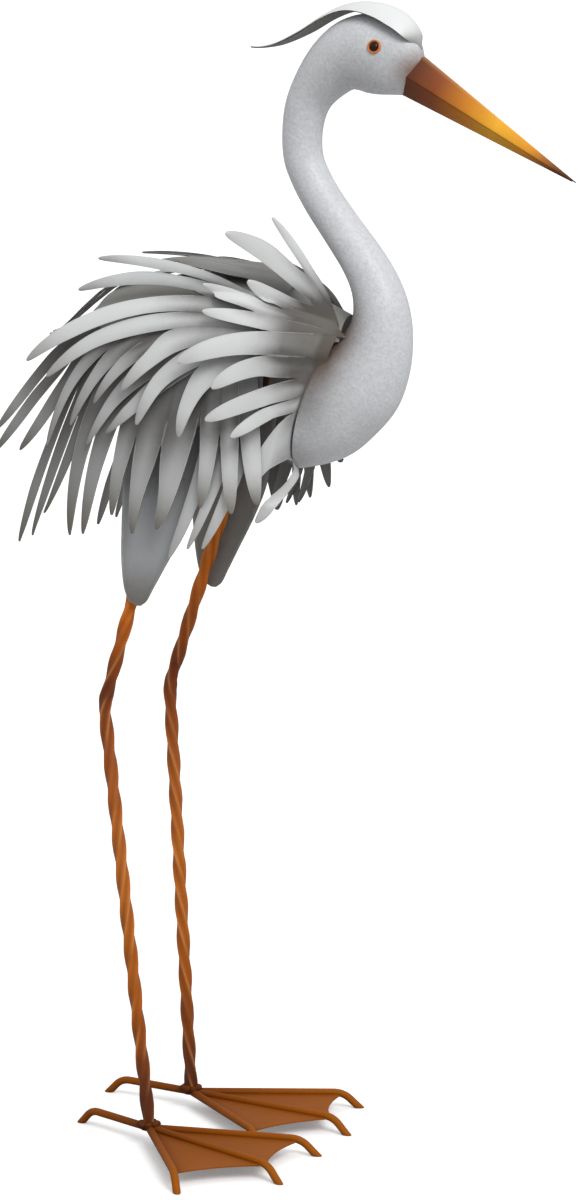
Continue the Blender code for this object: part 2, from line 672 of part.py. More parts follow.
def leg_reach():
    """Distance from a leg's axis to the bar's twisting corners."""
    return LEG_BAR / math.sqrt(2) * LEG_CORNER


def leg_spread(z):
    """Distance from the middle plane to a leg's axis: the upper bar leans in."""
    above_knee = (z - KNEE_HEIGHT) / (SHOULDER + HIP_RISE - KNEE_HEIGHT)
    return LEG_SPREAD + (HIP_SPREAD - LEG_SPREAD) * max(0.0, above_knee)


def make_thigh(name, side, paint):
    widest = THIGH_OUTLINE[-1][2] - THIGH_OUTLINE[-1][1]
    rows = []
    for z, rear, front in THIGH_OUTLINE:
        outer = leg_spread(SHOULDER + z) + leg_reach() + THIGH_GAP + SHEET / 2
        row = []
        for c in range(THIGH_COLUMNS + 1):
            u = 2 * c / THIGH_COLUMNS - 1
            curl = THIGH_CROWN * (u * (front - rear) / widest) ** THIGH_CURL
            row.append(Vector((rear + (front - rear) * (u + 1) / 2, side * (outer - curl), SHOULDER + z)))
        rows.append(row)
    return thicken(add_object(name, *grid(rows), paint), SHEET)


def leg_path(label):
    """Return points and directions down the bent bar, and the length run so far."""
    ankle_x, knee_x, hip_x, _ = LEG_PLACES[label]
    hip = Vector((hip_x, 0, SHOULDER + HIP_RISE))
    knee = Vector((knee_x, 0, KNEE_HEIGHT))
    ankle = Vector((ankle_x, 0, ANKLE_WELD_TOP + FIT_GAP))
    upper = knee - hip
    lower = ankle - knee
    length = upper.length + lower.length
    count = round(length / (LEG_TWIST_PITCH * LEG_TWIST_STEP / 360))

    def at(run):
        """The place on the two straight lines after a length of bar."""
        if run < upper.length:
            return hip + upper.normalized() * run
        return knee + lower.normalized() * (run - upper.length)

    path = []
    for i in range(count + 1):
        run = length * i / count
        ease = max(0.0, KNEE_BEND / 2 - abs(run - upper.length))
        middle = at(run)
        if ease > 0:
            middle = (at(run - ease) + at(run) * 2 + at(run + ease)) / 4
        direction = (at(min(length, run + KNEE_BEND / 2)) - at(max(0, run - KNEE_BEND / 2))).normalized()
        path.append((middle, direction, run))
    return path


def make_leg(label, side, finish):
    rings = []
    path = leg_path(label)
    half_diagonal = leg_reach()
    for i, (middle, direction, run) in enumerate(path):
        turn = 2 * math.pi * run / LEG_TWIST_PITCH
        sideways = Vector((0, 1, 0))
        forward = sideways.cross(direction)
        ring = []
        for k in range(4):
            angle = turn * side + math.pi / 2 * k
            ring.append(middle + Vector((0, side * leg_spread(middle.z), 0))
                        + (sideways * math.cos(angle) + forward * math.sin(angle)) * half_diagonal)
        if i == len(path) - 1:
            seat = ANKLE_WELD_TOP + FIT_GAP
            ring = [point + direction * ((seat - point.z) / direction.z) for point in ring]
        rings.append(ring)
    return add_object(label + "_leg", *loft(rings), finish, smooth_angle=60)


def rod_rings(points):
    """Rings of a round rod that follows points in one upright plane."""
    along = (points[-1] - points[0])
    sideways = Vector((-along.y, along.x, 0)).normalized()
    rings = []
    for i, point in enumerate(points):
        before = (point - points[max(i - 1, 0)]).normalized()
        after = (points[min(i + 1, len(points) - 1)] - point).normalized()
        direction = (before + after).normalized()
        up = sideways.cross(direction)
        rings.append([point + (sideways * math.cos(a) + up * math.sin(a)) * TOE_ROD / 2
                      for a in (2 * math.pi * (i + 0.5) / TOE_SIDES for i in range(TOE_SIDES))])
    return rings


def cut_on_ground(ring, direction):
    """Slide a ring's points along the rod until they lie on the ground."""
    return [point - direction * (point.z / direction.z) for point in ring]


def toe_points(start, angle, length):
    """The bend and the tip of a toe, seen from the ankle."""
    forward = Vector((math.cos(angle), math.sin(angle), 0))
    tip = start + forward * (length + TOE_TIP_REACH) - UP * TOE_HEIGHT
    kink = start + forward * length
    fall = (tip - kink).normalized()
    return [kink - forward * TOE_BEND, kink - (forward - fall) * TOE_BEND * TOE_BEND_CUT,
            kink + fall * TOE_BEND, tip]


def make_foot(label, side, finish):
    ankle_x, _, _, heading = LEG_PLACES[label]
    start = Vector((ankle_x, side * LEG_SPREAD, TOE_HEIGHT))
    heading = math.radians(heading)
    spread = math.radians(TOE_SPREAD)
    middle = toe_points(start, heading, MIDDLE_TOE)
    back = toe_points(start, heading + math.pi, BACK_TOE)
    rings = rod_rings(back[::-1] + middle)
    rings[0] = cut_on_ground(rings[0], back[3] - back[2])
    rings[-1] = cut_on_ground(rings[-1], middle[3] - middle[2])
    foot = add_object(label + "_foot", *loft(rings), finish)
    for name, turn in (("outer", side * spread), ("inner", -side * spread)):
        points = toe_points(start, heading + turn, SIDE_TOE)
        rings = rod_rings([start] + points)
        rings[-1] = cut_on_ground(rings[-1], points[3] - points[2])
        cut(foot, "UNION", add_object(label + "_" + name + "_toe", *loft(rings), finish))
    cut(foot, "UNION", make_web(label, start, heading, spread, finish))
    weld = [circle(share * ANKLE_WELD_RADIUS, height, WELD_SIDES, start.xy) for share, height in WELD_PROFILE]
    cut(foot, "UNION", add_object(label + "_ankle_weld", *loft(weld), finish))
    return foot


def make_web(label, start, heading, spread, finish):
    """The flat sheet between the three front toes, with hollow front edges."""
    def on(angle, length):
        return Vector((start.x + math.cos(angle) * length, start.y + math.sin(angle) * length, 0))
    corners = [on(heading - spread, SIDE_TOE), on(heading, MIDDLE_TOE), on(heading + spread, SIDE_TOE)]
    outline = [on(heading, WEB_START)]
    for a, b in ((corners[0], corners[1]), (corners[1], corners[2])):
        edge = b - a
        hollow = Vector((-edge.y, edge.x, 0)).normalized()
        if hollow.dot(outline[0] - a) < 0:
            hollow = -hollow
        for i in range(WEB_STEPS + (b is corners[2])):
            u = i / WEB_STEPS
            outline.append(a + edge * u + hollow * edge.length * WEB_SAG * 4 * u * (1 - u))
    bottom = TOE_HEIGHT - TOE_ROD * WEB_DROP
    rings = [[Vector((p.x, p.y, height)) for p in outline] for height in (bottom, bottom + SHEET)]
    return add_object(label + "_web", *loft(rings), finish)


def centre_on_origin():
    """Put the finished bird's bounding box centre over the origin, feet on the ground."""
    bpy.context.view_layer.update()
    graph = bpy.context.evaluated_depsgraph_get()
    low = Vector((math.inf, math.inf, math.inf))
    high = -low
    shown = [thing for thing in bpy.data.objects if thing.type == "MESH" and not thing.hide_render]
    for thing in shown:
        for vertex in thing.evaluated_get(graph).data.vertices:
            place = thing.matrix_world @ vertex.co
            low = Vector(map(min, low, place))
            high = Vector(map(max, high, place))
    stand = bpy.data.objects.new("heron", None)
    bpy.context.scene.collection.objects.link(stand)
    for thing in list(bpy.data.objects):
        if thing is not stand and thing.parent is None:
            thing.parent = stand
    stand.location = (-(low.x + high.x) / 2, -(low.y + high.y) / 2, -low.z)


def build():
    clear_scene()
    paint = material("light_grey_paint", PAINT, 0.45)
    shade = material("airbrushed_grey_paint", PAINT_SHADE, 0.5)
    rust = material("orange_brown_paint", RUST_ORANGE, 0.4)
    beak = material("beak_paint", BEAK_ORANGE, 0.4)
    eye = material("eye_gloss", EYE_BROWN, 0.1)

    make_neck(paint)
    make_crest(paint)
    beak_half("upper_beak", beak, UPPER_BEAK_RISE, 0, BEAK_RIDGE_HALF, BEAK_HALF_WIDTH, 0.0)
    beak_half("lower_beak", beak, 0, -LOWER_BEAK_DROP, BEAK_HALF_WIDTH, BEAK_KEEL_HALF, LOWER_BEAK_SHORTER)
    make_saddle(shade)
    for part, spec in BACK_COMBS.items():
        make_back_comb(part + "_back_comb", spec, paint)
    for label, side in (("left", 1), ("right", -1)):
        make_eye(side, label, eye)
        for part, spec in SIDE_COMBS.items():
            make_side_comb(part, spec, side, paint)
        make_thigh(label + "_thigh_plate", side, paint)
        make_leg(label, side, rust)
        make_foot(label, side, rust)
    centre_on_origin()


build()
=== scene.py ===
"""Metal heron garden statue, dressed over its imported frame.

The bird faces +X and its left side is +Y.  Sizes are in metres and angles in degrees.
Every sheet is drawn in the part's own drawing frame and then moved by STAND to where the
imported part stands.
"""
import math

import bmesh
import bpy
from bpy.props import FloatProperty, FloatVectorProperty, IntProperty, PointerProperty
from mathutils import Matrix, Vector, noise


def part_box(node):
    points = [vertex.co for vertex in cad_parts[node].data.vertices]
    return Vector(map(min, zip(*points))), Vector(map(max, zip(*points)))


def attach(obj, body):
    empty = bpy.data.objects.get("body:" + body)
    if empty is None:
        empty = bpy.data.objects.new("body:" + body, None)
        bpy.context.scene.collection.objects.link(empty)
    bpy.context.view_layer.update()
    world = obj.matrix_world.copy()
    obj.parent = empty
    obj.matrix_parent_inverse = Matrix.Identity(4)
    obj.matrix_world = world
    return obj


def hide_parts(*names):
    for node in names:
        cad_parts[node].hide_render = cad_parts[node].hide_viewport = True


bl_info = {
    "name": "Metal heron garden statue",
    "version": (1, 0, 0),
    "blender": (4, 5, 0),
    "location": "3D View > Sidebar > Heron",
    "description": "Builds the painted sheet metal heron and its plain pale stage",
    "category": "Object",
}

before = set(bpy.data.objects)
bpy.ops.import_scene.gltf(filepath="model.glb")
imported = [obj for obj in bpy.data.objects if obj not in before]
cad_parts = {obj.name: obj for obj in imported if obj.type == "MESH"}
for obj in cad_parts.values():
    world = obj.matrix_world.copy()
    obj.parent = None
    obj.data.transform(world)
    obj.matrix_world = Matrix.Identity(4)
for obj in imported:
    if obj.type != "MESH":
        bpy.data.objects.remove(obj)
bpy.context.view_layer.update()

BODY = "root"
PAINT = "paint_mask"      # painted shade, warm tint, tone, inner face (dark paint, partly painted shade)
EDGE = "edge_mask"        # from a sheet's middle to its cut edge
UP = Vector((0, 0, 1))
FIT_GAP = 0.0003          # clearance between two pieces that touch

# The neck from the beak's base to the breast's rear rim:
# x, z, angle of the section's long axis, half depth, half width
NECK_SECTIONS = (
    (0.1630, 0.9380, -120, 0.0185, 0.0125),
    (0.1545, 0.9460, -116, 0.0265, 0.0175),
    (0.1390, 0.9520, -105, 0.0308, 0.0215),
    (0.1220, 0.9565, -92, 0.0332, 0.0238),
    (0.1040, 0.9550, -75, 0.0305, 0.0238),
    (0.0885, 0.9465, -52, 0.0262, 0.0225),
    (0.0740, 0.9315, -30, 0.0225, 0.0205),
    (0.0615, 0.9130, -12, 0.0190, 0.0185),
    (0.0565, 0.8920, 0, 0.0174, 0.0174),
    (0.0570, 0.8700, 12, 0.0170, 0.0170),
    (0.0635, 0.8530, 24, 0.0168, 0.0168),
    (0.0765, 0.8320, 33, 0.0170, 0.0170),
    (0.0960, 0.8070, 37, 0.0176, 0.0176),
    (0.1135, 0.7850, 35, 0.0188, 0.0188),
    (0.1255, 0.7660, 25, 0.0206, 0.0206),
    (0.1320, 0.7480, 12, 0.0232, 0.0228),
    (0.1335, 0.7310, 0, 0.0262, 0.0252),
    (0.1305, 0.7135, -16, 0.0307, 0.0280),
    (0.1265, 0.6995, -34, 0.0345, 0.0310),
    (0.1203, 0.6863, -53, 0.0393, 0.0340),
    (0.1103, 0.6753, -70, 0.0438, 0.0365),
    (0.0964, 0.6645, -88, 0.0508, 0.0380),
    (0.0750, 0.6583, -108.7, 0.0592, 0.0380),
)
NECK_STEPS = 6            # rings from one section to the next
NECK_SIDES = 72
HOLLOW_SECTIONS = 6       # sections, counted from the rim, that are open inside
SHELL_WALL = 0.0016

# The crest plate from the brow to the plume's point: x, z, half width, droop of the edges
CREST_SECTIONS = (
    (0.1708, 0.9610, 0.0100, 0.0025),
    (0.1668, 0.9755, 0.0170, 0.0075),
    (0.1560, 0.9885, 0.0195, 0.0110),
    (0.1385, 0.9967, 0.0200, 0.0105),
    (0.1175, 0.9994, 0.0180, 0.0080),
    (0.0990, 0.9968, 0.0155, 0.0055),
    (0.0800, 0.9890, 0.0140, 0.0040),
    (0.0580, 0.9765, 0.0125, 0.0032),
    (0.0350, 0.9660, 0.0090, 0.0022),
    (0.0180, 0.9615, 0.0050, 0.0010),
    (0.0060, 0.9608, 0.0012, 0.0002),
)
CREST_STEPS = 8
CREST_COLUMNS = 20
CREST_ROUND_ROWS = 9      # rows in which the front edge rounds out to the full width
CREST_BROWN_ROWS = 12     # rows of the front that carry brown spray and a little painted shade, where the plate meets the brow

EYE_PLACE = (0.1370, 0.0210, 0.9625)      # of the left eye
EYE_LOOK = (0.18, 1.0, 0.24)              # the way it looks
EYE_SIDES = 48
# The ring from its rim inwards: share of the eye's radius, height over its seat
EYE_RING = ((1.0, -0.0014), (1.04, 0.0002), (1.02, 0.0008), (0.96, 0.0013), (0.87, 0.0016),
            (0.78, 0.0014), (0.71, 0.0009), (0.68, 0.0005))
EYE_DOME_RISE = 0.0022
EYE_DOME_STEPS = 10

BEAK_TIP = (0.3145, 0.8530)
BEAK_HALF_WIDTH = 0.0128
BEAK_RIDGE_HALF = 0.0022
BEAK_KEEL_HALF = 0.0030
BEAK_RISE = 0.0190
BEAK_DROP = 0.0180
BEAK_SHORTER = 0.0035     # the lower mandible ends this far behind the upper one
BEAK_TAPER = 0.955        # share of its depth and width that a mandible loses on the way to its tip
BEAK_BULGE = 0.0012       # how far a mandible's sides swell
BEAK_STEPS = 48
BEAK_COLUMNS = 8

# Body: x, half width, and x, rise of the back's ridge over the shoulder
SHOULDER = 0.700
BODY_WIDTHS = ((-0.250, 0.042), (-0.200, 0.054), (-0.150, 0.063), (-0.100, 0.0675),
               (-0.050, 0.0685), (0.000, 0.0680), (0.025, 0.0620), (0.050, 0.0520),
               (0.075, 0.0380), (0.1035, 0.0220))
BACK_RISE = ((-0.250, 0.015), (-0.150, 0.038), (-0.120, 0.052), (-0.060, 0.065),
             (0.000, 0.068), (0.050, 0.062), (0.075, 0.048), (0.1035, 0.036))
SADDLE_FRONT = 0.1035
SADDLE_REAR = -0.122      # ahead of the solid's rear edge, which would show behind the feathers
SADDLE_HEM = 0.015        # height of the saddle's side edges over the shoulder
SADDLE_WALL = 0.0014
SADDLE_STEPS = 64
SADDLE_COLUMNS = 40
ROOF_LIMIT = 0.80         # the feather sheets follow the back up to this share of its rise
PROBE = 0.002             # distance over which the body's slope is read
SEAT_GAP = 0.0009         # clearance of the first sheet over the saddle
LAYER_STEP = 0.0028       # from one feather sheet to the next where they are fixed
COLLAR_TURN_TOP = 0.706   # above this height the collar lies on the back
COLLAR_TURN = 0.018       # height in which the collar passes from the back into the breast's rim
COLLAR_LEAVES = 0.3       # share of a collar feather in which it leaves the rim
LAST_LEAVES = 0.75        # the same for its lowest feather
RIM_INSET = 0.0012        # the rim's outline is read this far inside its ends

# Feathers
FAN_SHARE = 0.92          # two feathers fill at most this share of the room between their middle lines
FINGER_LEAST = 0.0015     # least half width of a feather where the fan is narrow
SLIT_EASE = 0.35          # share of a feather in which it takes its own width after a slit
FINGER_TAPER = 4          # the higher, the later a feather starts to narrow
FINGER_ROUND = 0.5        # roundness of a feather's end
FINGER_END = 0.06         # share of its width that a feather keeps at its very tip
TIP_CROWDING = 1.8        # the higher, the closer together the rows of faces lie near a tip
CUP = 0.0007              # how far a feather's middle stands out between its edges
CUP_TILT = 0.0008         # and how far it is turned by hand at most
ROOT_RUN = {"collar": 0.012, "shoulder": 0.014}   # how far a sheet runs on under the neck
ROOT_ROWS = 3
SLIT_SHADE = 0.45         # strength of the painted shade at the end of a slit, where a feather goes under its neighbour
SLIT_SHADE_REACH = 0.16   # and how far it reaches, as a share of the feather
DUSK_EASE = 0.34          # share of a feather in which the shade of its neighbours fades
DUSK_LEAD = 0.22          # and how far before its named end that starts
RIM_SHADE = 0.12
RIM_SHADE_START = 0.72    # of the way from the middle to the edge
TIP_TINT_START = 0.66     # along the feather
TIP_TINT_EASE = 0.30

# Thigh plate outline from its tip upwards: z, rear x, front x
THIGH_OUTLINE = ((0.4810, -0.0740, -0.0690), (0.4850, -0.0805, -0.0635), (0.4960, -0.0860, -0.0570),
                 (0.5200, -0.0895, -0.0430), (0.5480, -0.0905, -0.0265), (0.5740, -0.0910, -0.0135),
                 (0.5980, -0.0915, -0.0060), (0.6400, -0.0915, 0.0025))
THIGH_CROWN = 0.006       # how far the plate's long edges curve in
THIGH_CURL = 4            # the power with which they do, so the middle stays flat
THIGH_GAP = 0.0008        # clearance over the bar's twisting corners
THIGH_STEPS = 60
THIGH_COLUMNS = 16

# Legs and feet of each side: ankle x, knee x, hip x, direction of the middle toe
LEG_PLACES = {
    "right": (-0.0652, -0.1090, -0.0114, -17.0),
    "left": (-0.0951, -0.1162, 0.0150, -3.5),
}
LEG_SPREAD = 0.0603       # from the middle plane to a leg's axis
HIP_SPREAD = 0.0430       # the same at the bar's upper end, under the saddle
HIP_TOP = 0.7360
KNEE_HEIGHT = 0.390
KNEE_BEND = 0.022         # length of bar taken up by the bend at the knee
LEG_CORNER = 0.94         # the bar's rounded corners reach this share of a sharp corner
LEG_SQUARENESS = 8        # the higher, the sharper the bar's corners
LEG_RINGS = 340
LEG_SIDES = 24
TOE_HEIGHT = 0.0145       # height of the toe rods' axes
TOE_TIP_REACH = 0.0149    # how far a bent tip runs beyond its bend
TOE_BEND = 0.009          # length of rod taken up by a toe's bend, on either side of it
MIDDLE_TOE = 0.1542
SIDE_TOE = 0.1387
BACK_TOE = 0.0778
TOE_SPREAD = 32.2         # angle between the middle toe and a side toe
ROD_SIDES = 20
WEB_SAG = 0.10            # hollow of the web's front edge, as a share of its width
WEB_DROP = 0.30           # the web lies this share of the rods' diameter under their axes
WEB_STEPS = 28
ANKLE_WELD_RADIUS = 0.0095
ANKLE_WELD_TOP = 0.0195


def srgb(red, green, blue):
    """Turn screen values from 0 to 255 into the linear colour that shaders use."""
    return tuple(v / 12.92 if v <= 0.04045 else ((v + 0.055) / 1.055) ** 2.4
                 for v in (red / 255, green / 255, blue / 255))


def comb(layers, root, flare, fingers, tones, tips, brown, dusk, plate=None):
    """Describe one feather sheet.

    layers: sheets under it at its root and further on, and the share in which it rises.
    root: the two ends of the line where it is fixed.  flare: how far its tips stand out.
    fingers: tip x and z, bow, half width, end of the slit after it, and lift of the tip.
    tones: darkness of the first and the last feather.  tips: strength of the olive tips.
    brown: strength of the brown spray at the root, and of the painted shade that comes with it round the
    neck's base.
    dusk: strength of the shade where it comes out from under its neighbours, and where it ends.
    plate: number of a broad finger that keeps the slant of the root line to its end.
    """
    return {"layers": layers, "root": root, "flare": flare, "fingers": fingers,
            "tones": tones, "tips": tips, "brown": brown, "dusk": dusk, "plate": plate}


SIDE_COMBS = {
    "collar": comb(layers=(1, 5, 0.2), root=((0.0915, 0.7210), (0.0545, 0.6060)), flare=0.0100, fingers=(
        (-0.011, 0.698, 0.010, 0.0095, 0.26, 0.0005),
        (0.020, 0.677, 0.010, 0.0082, 0.12, -0.0005),
        (0.015, 0.650, 0.002, 0.0075, 0.05, 0.001),
        (0.036, 0.636, 0.002, 0.0058, 0.05, -0.0005),
        (0.0385, 0.602, 0.000, 0.0180, 0.12, 0.0),
        (0.0445, 0.561, -0.007, 0.0058, 0.0, 0.0)),
        tones=(0.05, 0.30), tips=0.25, brown=0.8, dusk=(0.1, 0.1), plate=4),
    "shoulder": comb(layers=(0, 4, 0.5), root=((0.0975, 0.7195), (0.0990, 0.7350)), flare=0.0090, fingers=(
        (0.006, 0.741, 0.002, 0.0065, 0.58, 0.0005),
        (-0.004, 0.762, 0.004, 0.0082, 0.42, 0.001),
        (0.036, 0.766, -0.002, 0.0080, 0.26, 0.000),
        (0.017, 0.806, 0.012, 0.0097, 0.42, 0.001),
        (0.057, 0.820, 0.003, 0.0042, 0.0, 0.000)),
        tones=(0.05, 0.0), tips=0.15, brown=1.0, dusk=(0.2, 0.2)),
    "upper": comb(layers=(2, 3, 0.1), root=((0.0500, 0.6980), (0.0400, 0.7520)), flare=0.0090, fingers=(
        (-0.014, 0.634, 0.018, 0.0080, 0.42, 0.001),
        (-0.057, 0.642, 0.024, 0.0080, 0.42, 0.000),
        (-0.071, 0.671, 0.019, 0.0080, 0.42, 0.001),
        (-0.152, 0.678, 0.026, 0.0075, 0.26, -0.0005),
        (-0.172, 0.691, 0.026, 0.0085, 0.26, 0.003),
        (-0.134, 0.752, 0.017, 0.0063, 0.26, -0.001),
        (-0.112, 0.780, 0.009, 0.0050, 0.0, 0.000)),
        tones=(0.12, 0.0), tips=0.6, brown=0.2, dusk=(0.55, 0.36)),
    "middle": comb(layers=(2, 2, 1), root=((0.0200, 0.7020), (0.0000, 0.7480)), flare=0.0070, fingers=(
        (-0.089, 0.633, 0.006, 0.0065, 0.42, 0.0025),
        (-0.112, 0.621, 0.019, 0.0070, 0.42, -0.0005),
        (-0.101, 0.658, 0.017, 0.0060, 0.42, 0.0035),
        (-0.129, 0.637, 0.025, 0.0060, 0.42, 0.000),
        (-0.154, 0.618, 0.034, 0.0052, 0.0, 0.002)),
        tones=(0.35, 0.50), tips=0.75, brown=0.0, dusk=(0.7, 0.68)),
    "lower": comb(layers=(1, 1, 1), root=((0.0450, 0.7160), (-0.0640, 0.7220)), flare=0.0050, fingers=(
        (0.048, 0.577, 0.003, 0.0085, 0.58, 0.000),
        (0.028, 0.569, 0.002, 0.0082, 0.58, 0.0015),
        (0.000, 0.573, -0.003, 0.0082, 0.42, -0.0005),
        (-0.042, 0.552, -0.006, 0.0100, 0.58, 0.002),
        (-0.068, 0.546, 0.010, 0.0080, 0.58, 0.000),
        (-0.088, 0.561, 0.011, 0.0075, 0.42, 0.0015),
        (-0.120, 0.542, 0.014, 0.0080, 0.42, 0.0000),
        (-0.133, 0.540, 0.020, 0.0075, 0.0, 0.0015)),
        tones=(0.15, 0.85), tips=1.0, brown=0.0, dusk=(0.75, 0.62)),
    "tail": comb(layers=(1, 1, 1), root=((-0.0860, 0.7180), (-0.1230, 0.7240)), flare=0.0040, fingers=(
        (-0.164, 0.557, -0.002, 0.0062, 0.26, 0.000),
        (-0.177, 0.536, 0.003, 0.0060, 0.26, 0.001),
        (-0.194, 0.529, 0.007, 0.0055, 0.12, 0.0000),
        (-0.188, 0.611, -0.004, 0.0060, 0.26, 0.005),
        (-0.217, 0.608, 0.000, 0.0058, 0.26, 0.006),
        (-0.216, 0.627, 0.001, 0.0055, 0.0, 0.005)),
        tones=(0.95, 0.75), tips=0.9, brown=0.0, dusk=(0.9, 0.66)),
    "belly": comb(layers=(0, 0, 1), root=((0.0500, 0.7140), (0.0120, 0.7140)), flare=0.0020, fingers=(
        (-0.001, 0.537, -0.012, 0.0060, 0.42, 0.000),
        (-0.015, 0.536, -0.011, 0.0055, 0.42, 0.0010),
        (-0.034, 0.527, -0.010, 0.0070, 0.0, 0.0000)),
        tones=(0.25, 0.30), tips=0.4, brown=0.0, dusk=(0.7, 0.70)),
}
# Feathers of the right side, by number, that are bent in under the next sheet
TUCKED = {"collar": (4, 5)}
TUCKED_LAYER = 0.8        # in sheets over the saddle
TUCKED_START = 0.05       # share of their length at which they start to bend in
TUCKED_EASE = 0.20        # and the share over which they do
# Where the left sheets differ: root lines, depth of the slits, shares of the width, and tips
LEFT_ROOTS = {
    "tail": ((-0.0925, 0.7180), (-0.1260, 0.7240)),
    "shoulder": ((0.0930, 0.7190), (0.0950, 0.7280)),
}
LEFT_SLIT = 0.16
LEFT_SLIM = {"upper": (1, 1, 1, 1, 1, 0.8, 0.35), "shoulder": (1, 1, 1, 0.7, 1)}
LEFT_TIPS = {
    "belly": ((0.012, 0.562), (-0.002, 0.560), (-0.018, 0.554)),
    "collar": ((-0.011, 0.698), (0.015, 0.677), (0.012, 0.652), (0.028, 0.640), (0.028, 0.620),
               (0.050, 0.612)),
    "shoulder": ((-0.010, 0.703), (-0.034, 0.722), (-0.014, 0.744), (-0.088, 0.771), (0.000, 0.774)),
    "upper": ((-0.014, 0.634), (-0.057, 0.642), (-0.071, 0.671), (-0.145, 0.680), (-0.160, 0.695),
              (-0.134, 0.742), (-0.141, 0.777)),
    "lower": ((0.046, 0.578), (0.021, 0.566), (0.006, 0.558), (-0.016, 0.552), (-0.045, 0.560),
              (-0.070, 0.552), (-0.100, 0.545), (-0.133, 0.540)),
}

# Feathers along the middle of the back: layer, root x, and for each finger the tip x, y, z
BACK_COMBS = {
    "upper": (2, 0.0600, ((-0.050, -0.030, 0.767), (-0.074, -0.016, 0.767), (-0.086, 0.000, 0.766),
                          (-0.074, 0.016, 0.767), (-0.050, 0.030, 0.767))),
    "rear": (1, -0.0350, ((-0.192, -0.015, 0.702), (-0.198, 0.000, 0.703), (-0.192, 0.015, 0.702))),
}
BACK_FINGER = 0.0068      # half width of a back feather
BACK_SLIT = 0.42
BACK_BED = 1.3            # the back sheets lie this many times as high over the saddle as the side sheets
BACK_PINCH = 0.15         # share by which their feathers lie closer together at the root
BACK_CUP = 0.0008
REAR_LEAVES = 0.012       # the rear sheet starts to drop this far behind the saddle
REAR_TIP = 0.55           # its feathers narrow to this share of their width

# Darker and browner patches seen from the side: x, z, radius, grey shade, brown tint. The grey is painted
# shade under the head, at joins and along the breast's rim; the brown is brown paint.
NECK_SHADE_AND_BROWN = (
    (0.122, 0.934, 0.030, 0.24, 0.06),    # cheek and throat: painted shade under the head
    (0.088, 0.925, 0.020, 0.10, 0.00),
    (0.172, 0.940, 0.015, 0.45, 1.00),    # round the beak's base: brown paint, and painted shade at the join
    (0.096, 0.728, 0.026, 1.10, 0.55),    # where the neck meets the shoulder sheets: painted shade and brown
    (0.086, 0.696, 0.024, 0.85, 0.35),
    (0.078, 0.662, 0.020, 0.50, 0.12),
    (0.062, 0.615, 0.016, 0.35, 0.06),
)
FEATHER_SHADE_AND_BROWN = (
    (0.104, 0.718, 0.032, 2.60, 0.42),    # round the neck's base: painted shade and brown
    (0.072, 0.738, 0.020, 0.30, 0.06),
    (0.088, 0.688, 0.022, 1.10, 0.22),
    (0.078, 0.640, 0.014, 0.40, 0.05),
)

# Brushed colours along a piece: share of its length, then red, green and blue on a screen
BEAK_BANDS = ((0.0, 96, 50, 32), (0.16, 142, 74, 36), (0.34, 206, 128, 34), (0.52, 240, 176, 48),
              (0.70, 226, 152, 40), (0.82, 164, 98, 38), (0.90, 96, 60, 34), (1.0, 62, 42, 28))
LEG_BANDS = ((0.0, 56, 38, 28), (0.20, 88, 52, 28), (0.27, 206, 116, 30), (0.36, 200, 106, 28),
             (0.47, 104, 50, 24), (0.54, 156, 82, 36), (0.70, 186, 106, 38), (0.86, 164, 86, 22),
             (0.96, 104, 52, 26), (1.0, 84, 42, 24))
FOOT_BANDS = ((0.0, 70, 34, 12), (0.12, 100, 46, 4), (0.5, 130, 66, 4), (1.0, 148, 80, 12))

SUN_PLACE = (3.4, -2.2, 4.2)
SUN_AIM = (0, 0, 0.5)
SUN_ENERGY = 1.7
SUN_ANGLE = 28.0          # a wide sun casts soft shadows
WORLD_STRENGTH = 0.80
FLOOR_GLOW = 0.22         # seen by the camera alone, so the floor stays pale

CAMERA_PLACE = (1.78177, -3.06724, 1.0362)
CAMERA_HEADING = 30.0     # the camera looks this far left of +Y
CAMERA_DIP = 8.76
CAMERA_FOCUS = 4171.3     # focal length in pixels of the photograph's height
PHOTO_HEIGHT = 1200
SENSOR = 36.0


# Sums

def smooth(t):
    t = min(1.0, max(0.0, t))
    return t * t * (3 - 2 * t)


def blend(a, b, t):
    return a + (b - a) * t


def read_curve(table, x):
    """Read a smooth curve through (x, value) pairs, sorted by x, with level ends."""
    if x <= table[0][0]:
        return table[0][1]
    for i in range(len(table) - 1):
        (x0, v0), (x1, v1) = table[i], table[i + 1]
        if x <= x1:
            before = table[max(i - 1, 0)]
            after = table[min(i + 2, len(table) - 1)]
            span = x1 - x0
            slope0 = (v1 - before[1]) / (x1 - before[0]) * span
            slope1 = (after[1] - v0) / (after[0] - x0) * span
            t = (x - x0) / span
            return ((2 * t**3 - 3 * t**2 + 1) * v0 + (t**3 - 2 * t**2 + t) * slope0
                    + (-2 * t**3 + 3 * t**2) * v1 + (t**3 - t**2) * slope1)
    return table[-1][1]


def refine(rows, steps):
    """Put smooth rows of numbers between the given ones."""
    fine = []
    for i in range(len(rows) - 1):
        a, b = rows[i], rows[i + 1]
        before = rows[i - 1] if i else [2 * p - q for p, q in zip(a, b)]
        after = rows[i + 2] if i + 2 < len(rows) else [2 * q - p for p, q in zip(a, b)]
        for s in range(steps):
            t = s / steps
            fine.append([0.5 * (2 * p + (q - o) * t + (2 * o - 5 * p + 4 * q - r) * t * t
                                + (3 * p - o - 3 * q + r) * t**3)
                         for o, p, q, r in zip(before, a, b, after)])
    fine.append(list(rows[-1]))
    return fine


def spray(patches, x, z):
    """Add up the patches at a place of the side view: grey painted shade and brown tint."""
    shade = warm = 0.0
    for px, pz, radius, grey, brown in patches:
        near = math.exp(-((x - px) ** 2 + (z - pz) ** 2) / (radius * radius))
        shade += grey * near
        warm += brown * near
    return min(1.0, shade), min(1.0, warm)


def chance(*keys):
    """A steady number from 0 to 1 for a feather or a blob."""
    place = Vector((keys[0] * 7.31 + 0.5, keys[1] * 3.17 + 0.3, keys[-1] * 1.93 + 0.7))
    return 0.5 + 0.5 * noise.noise(place)


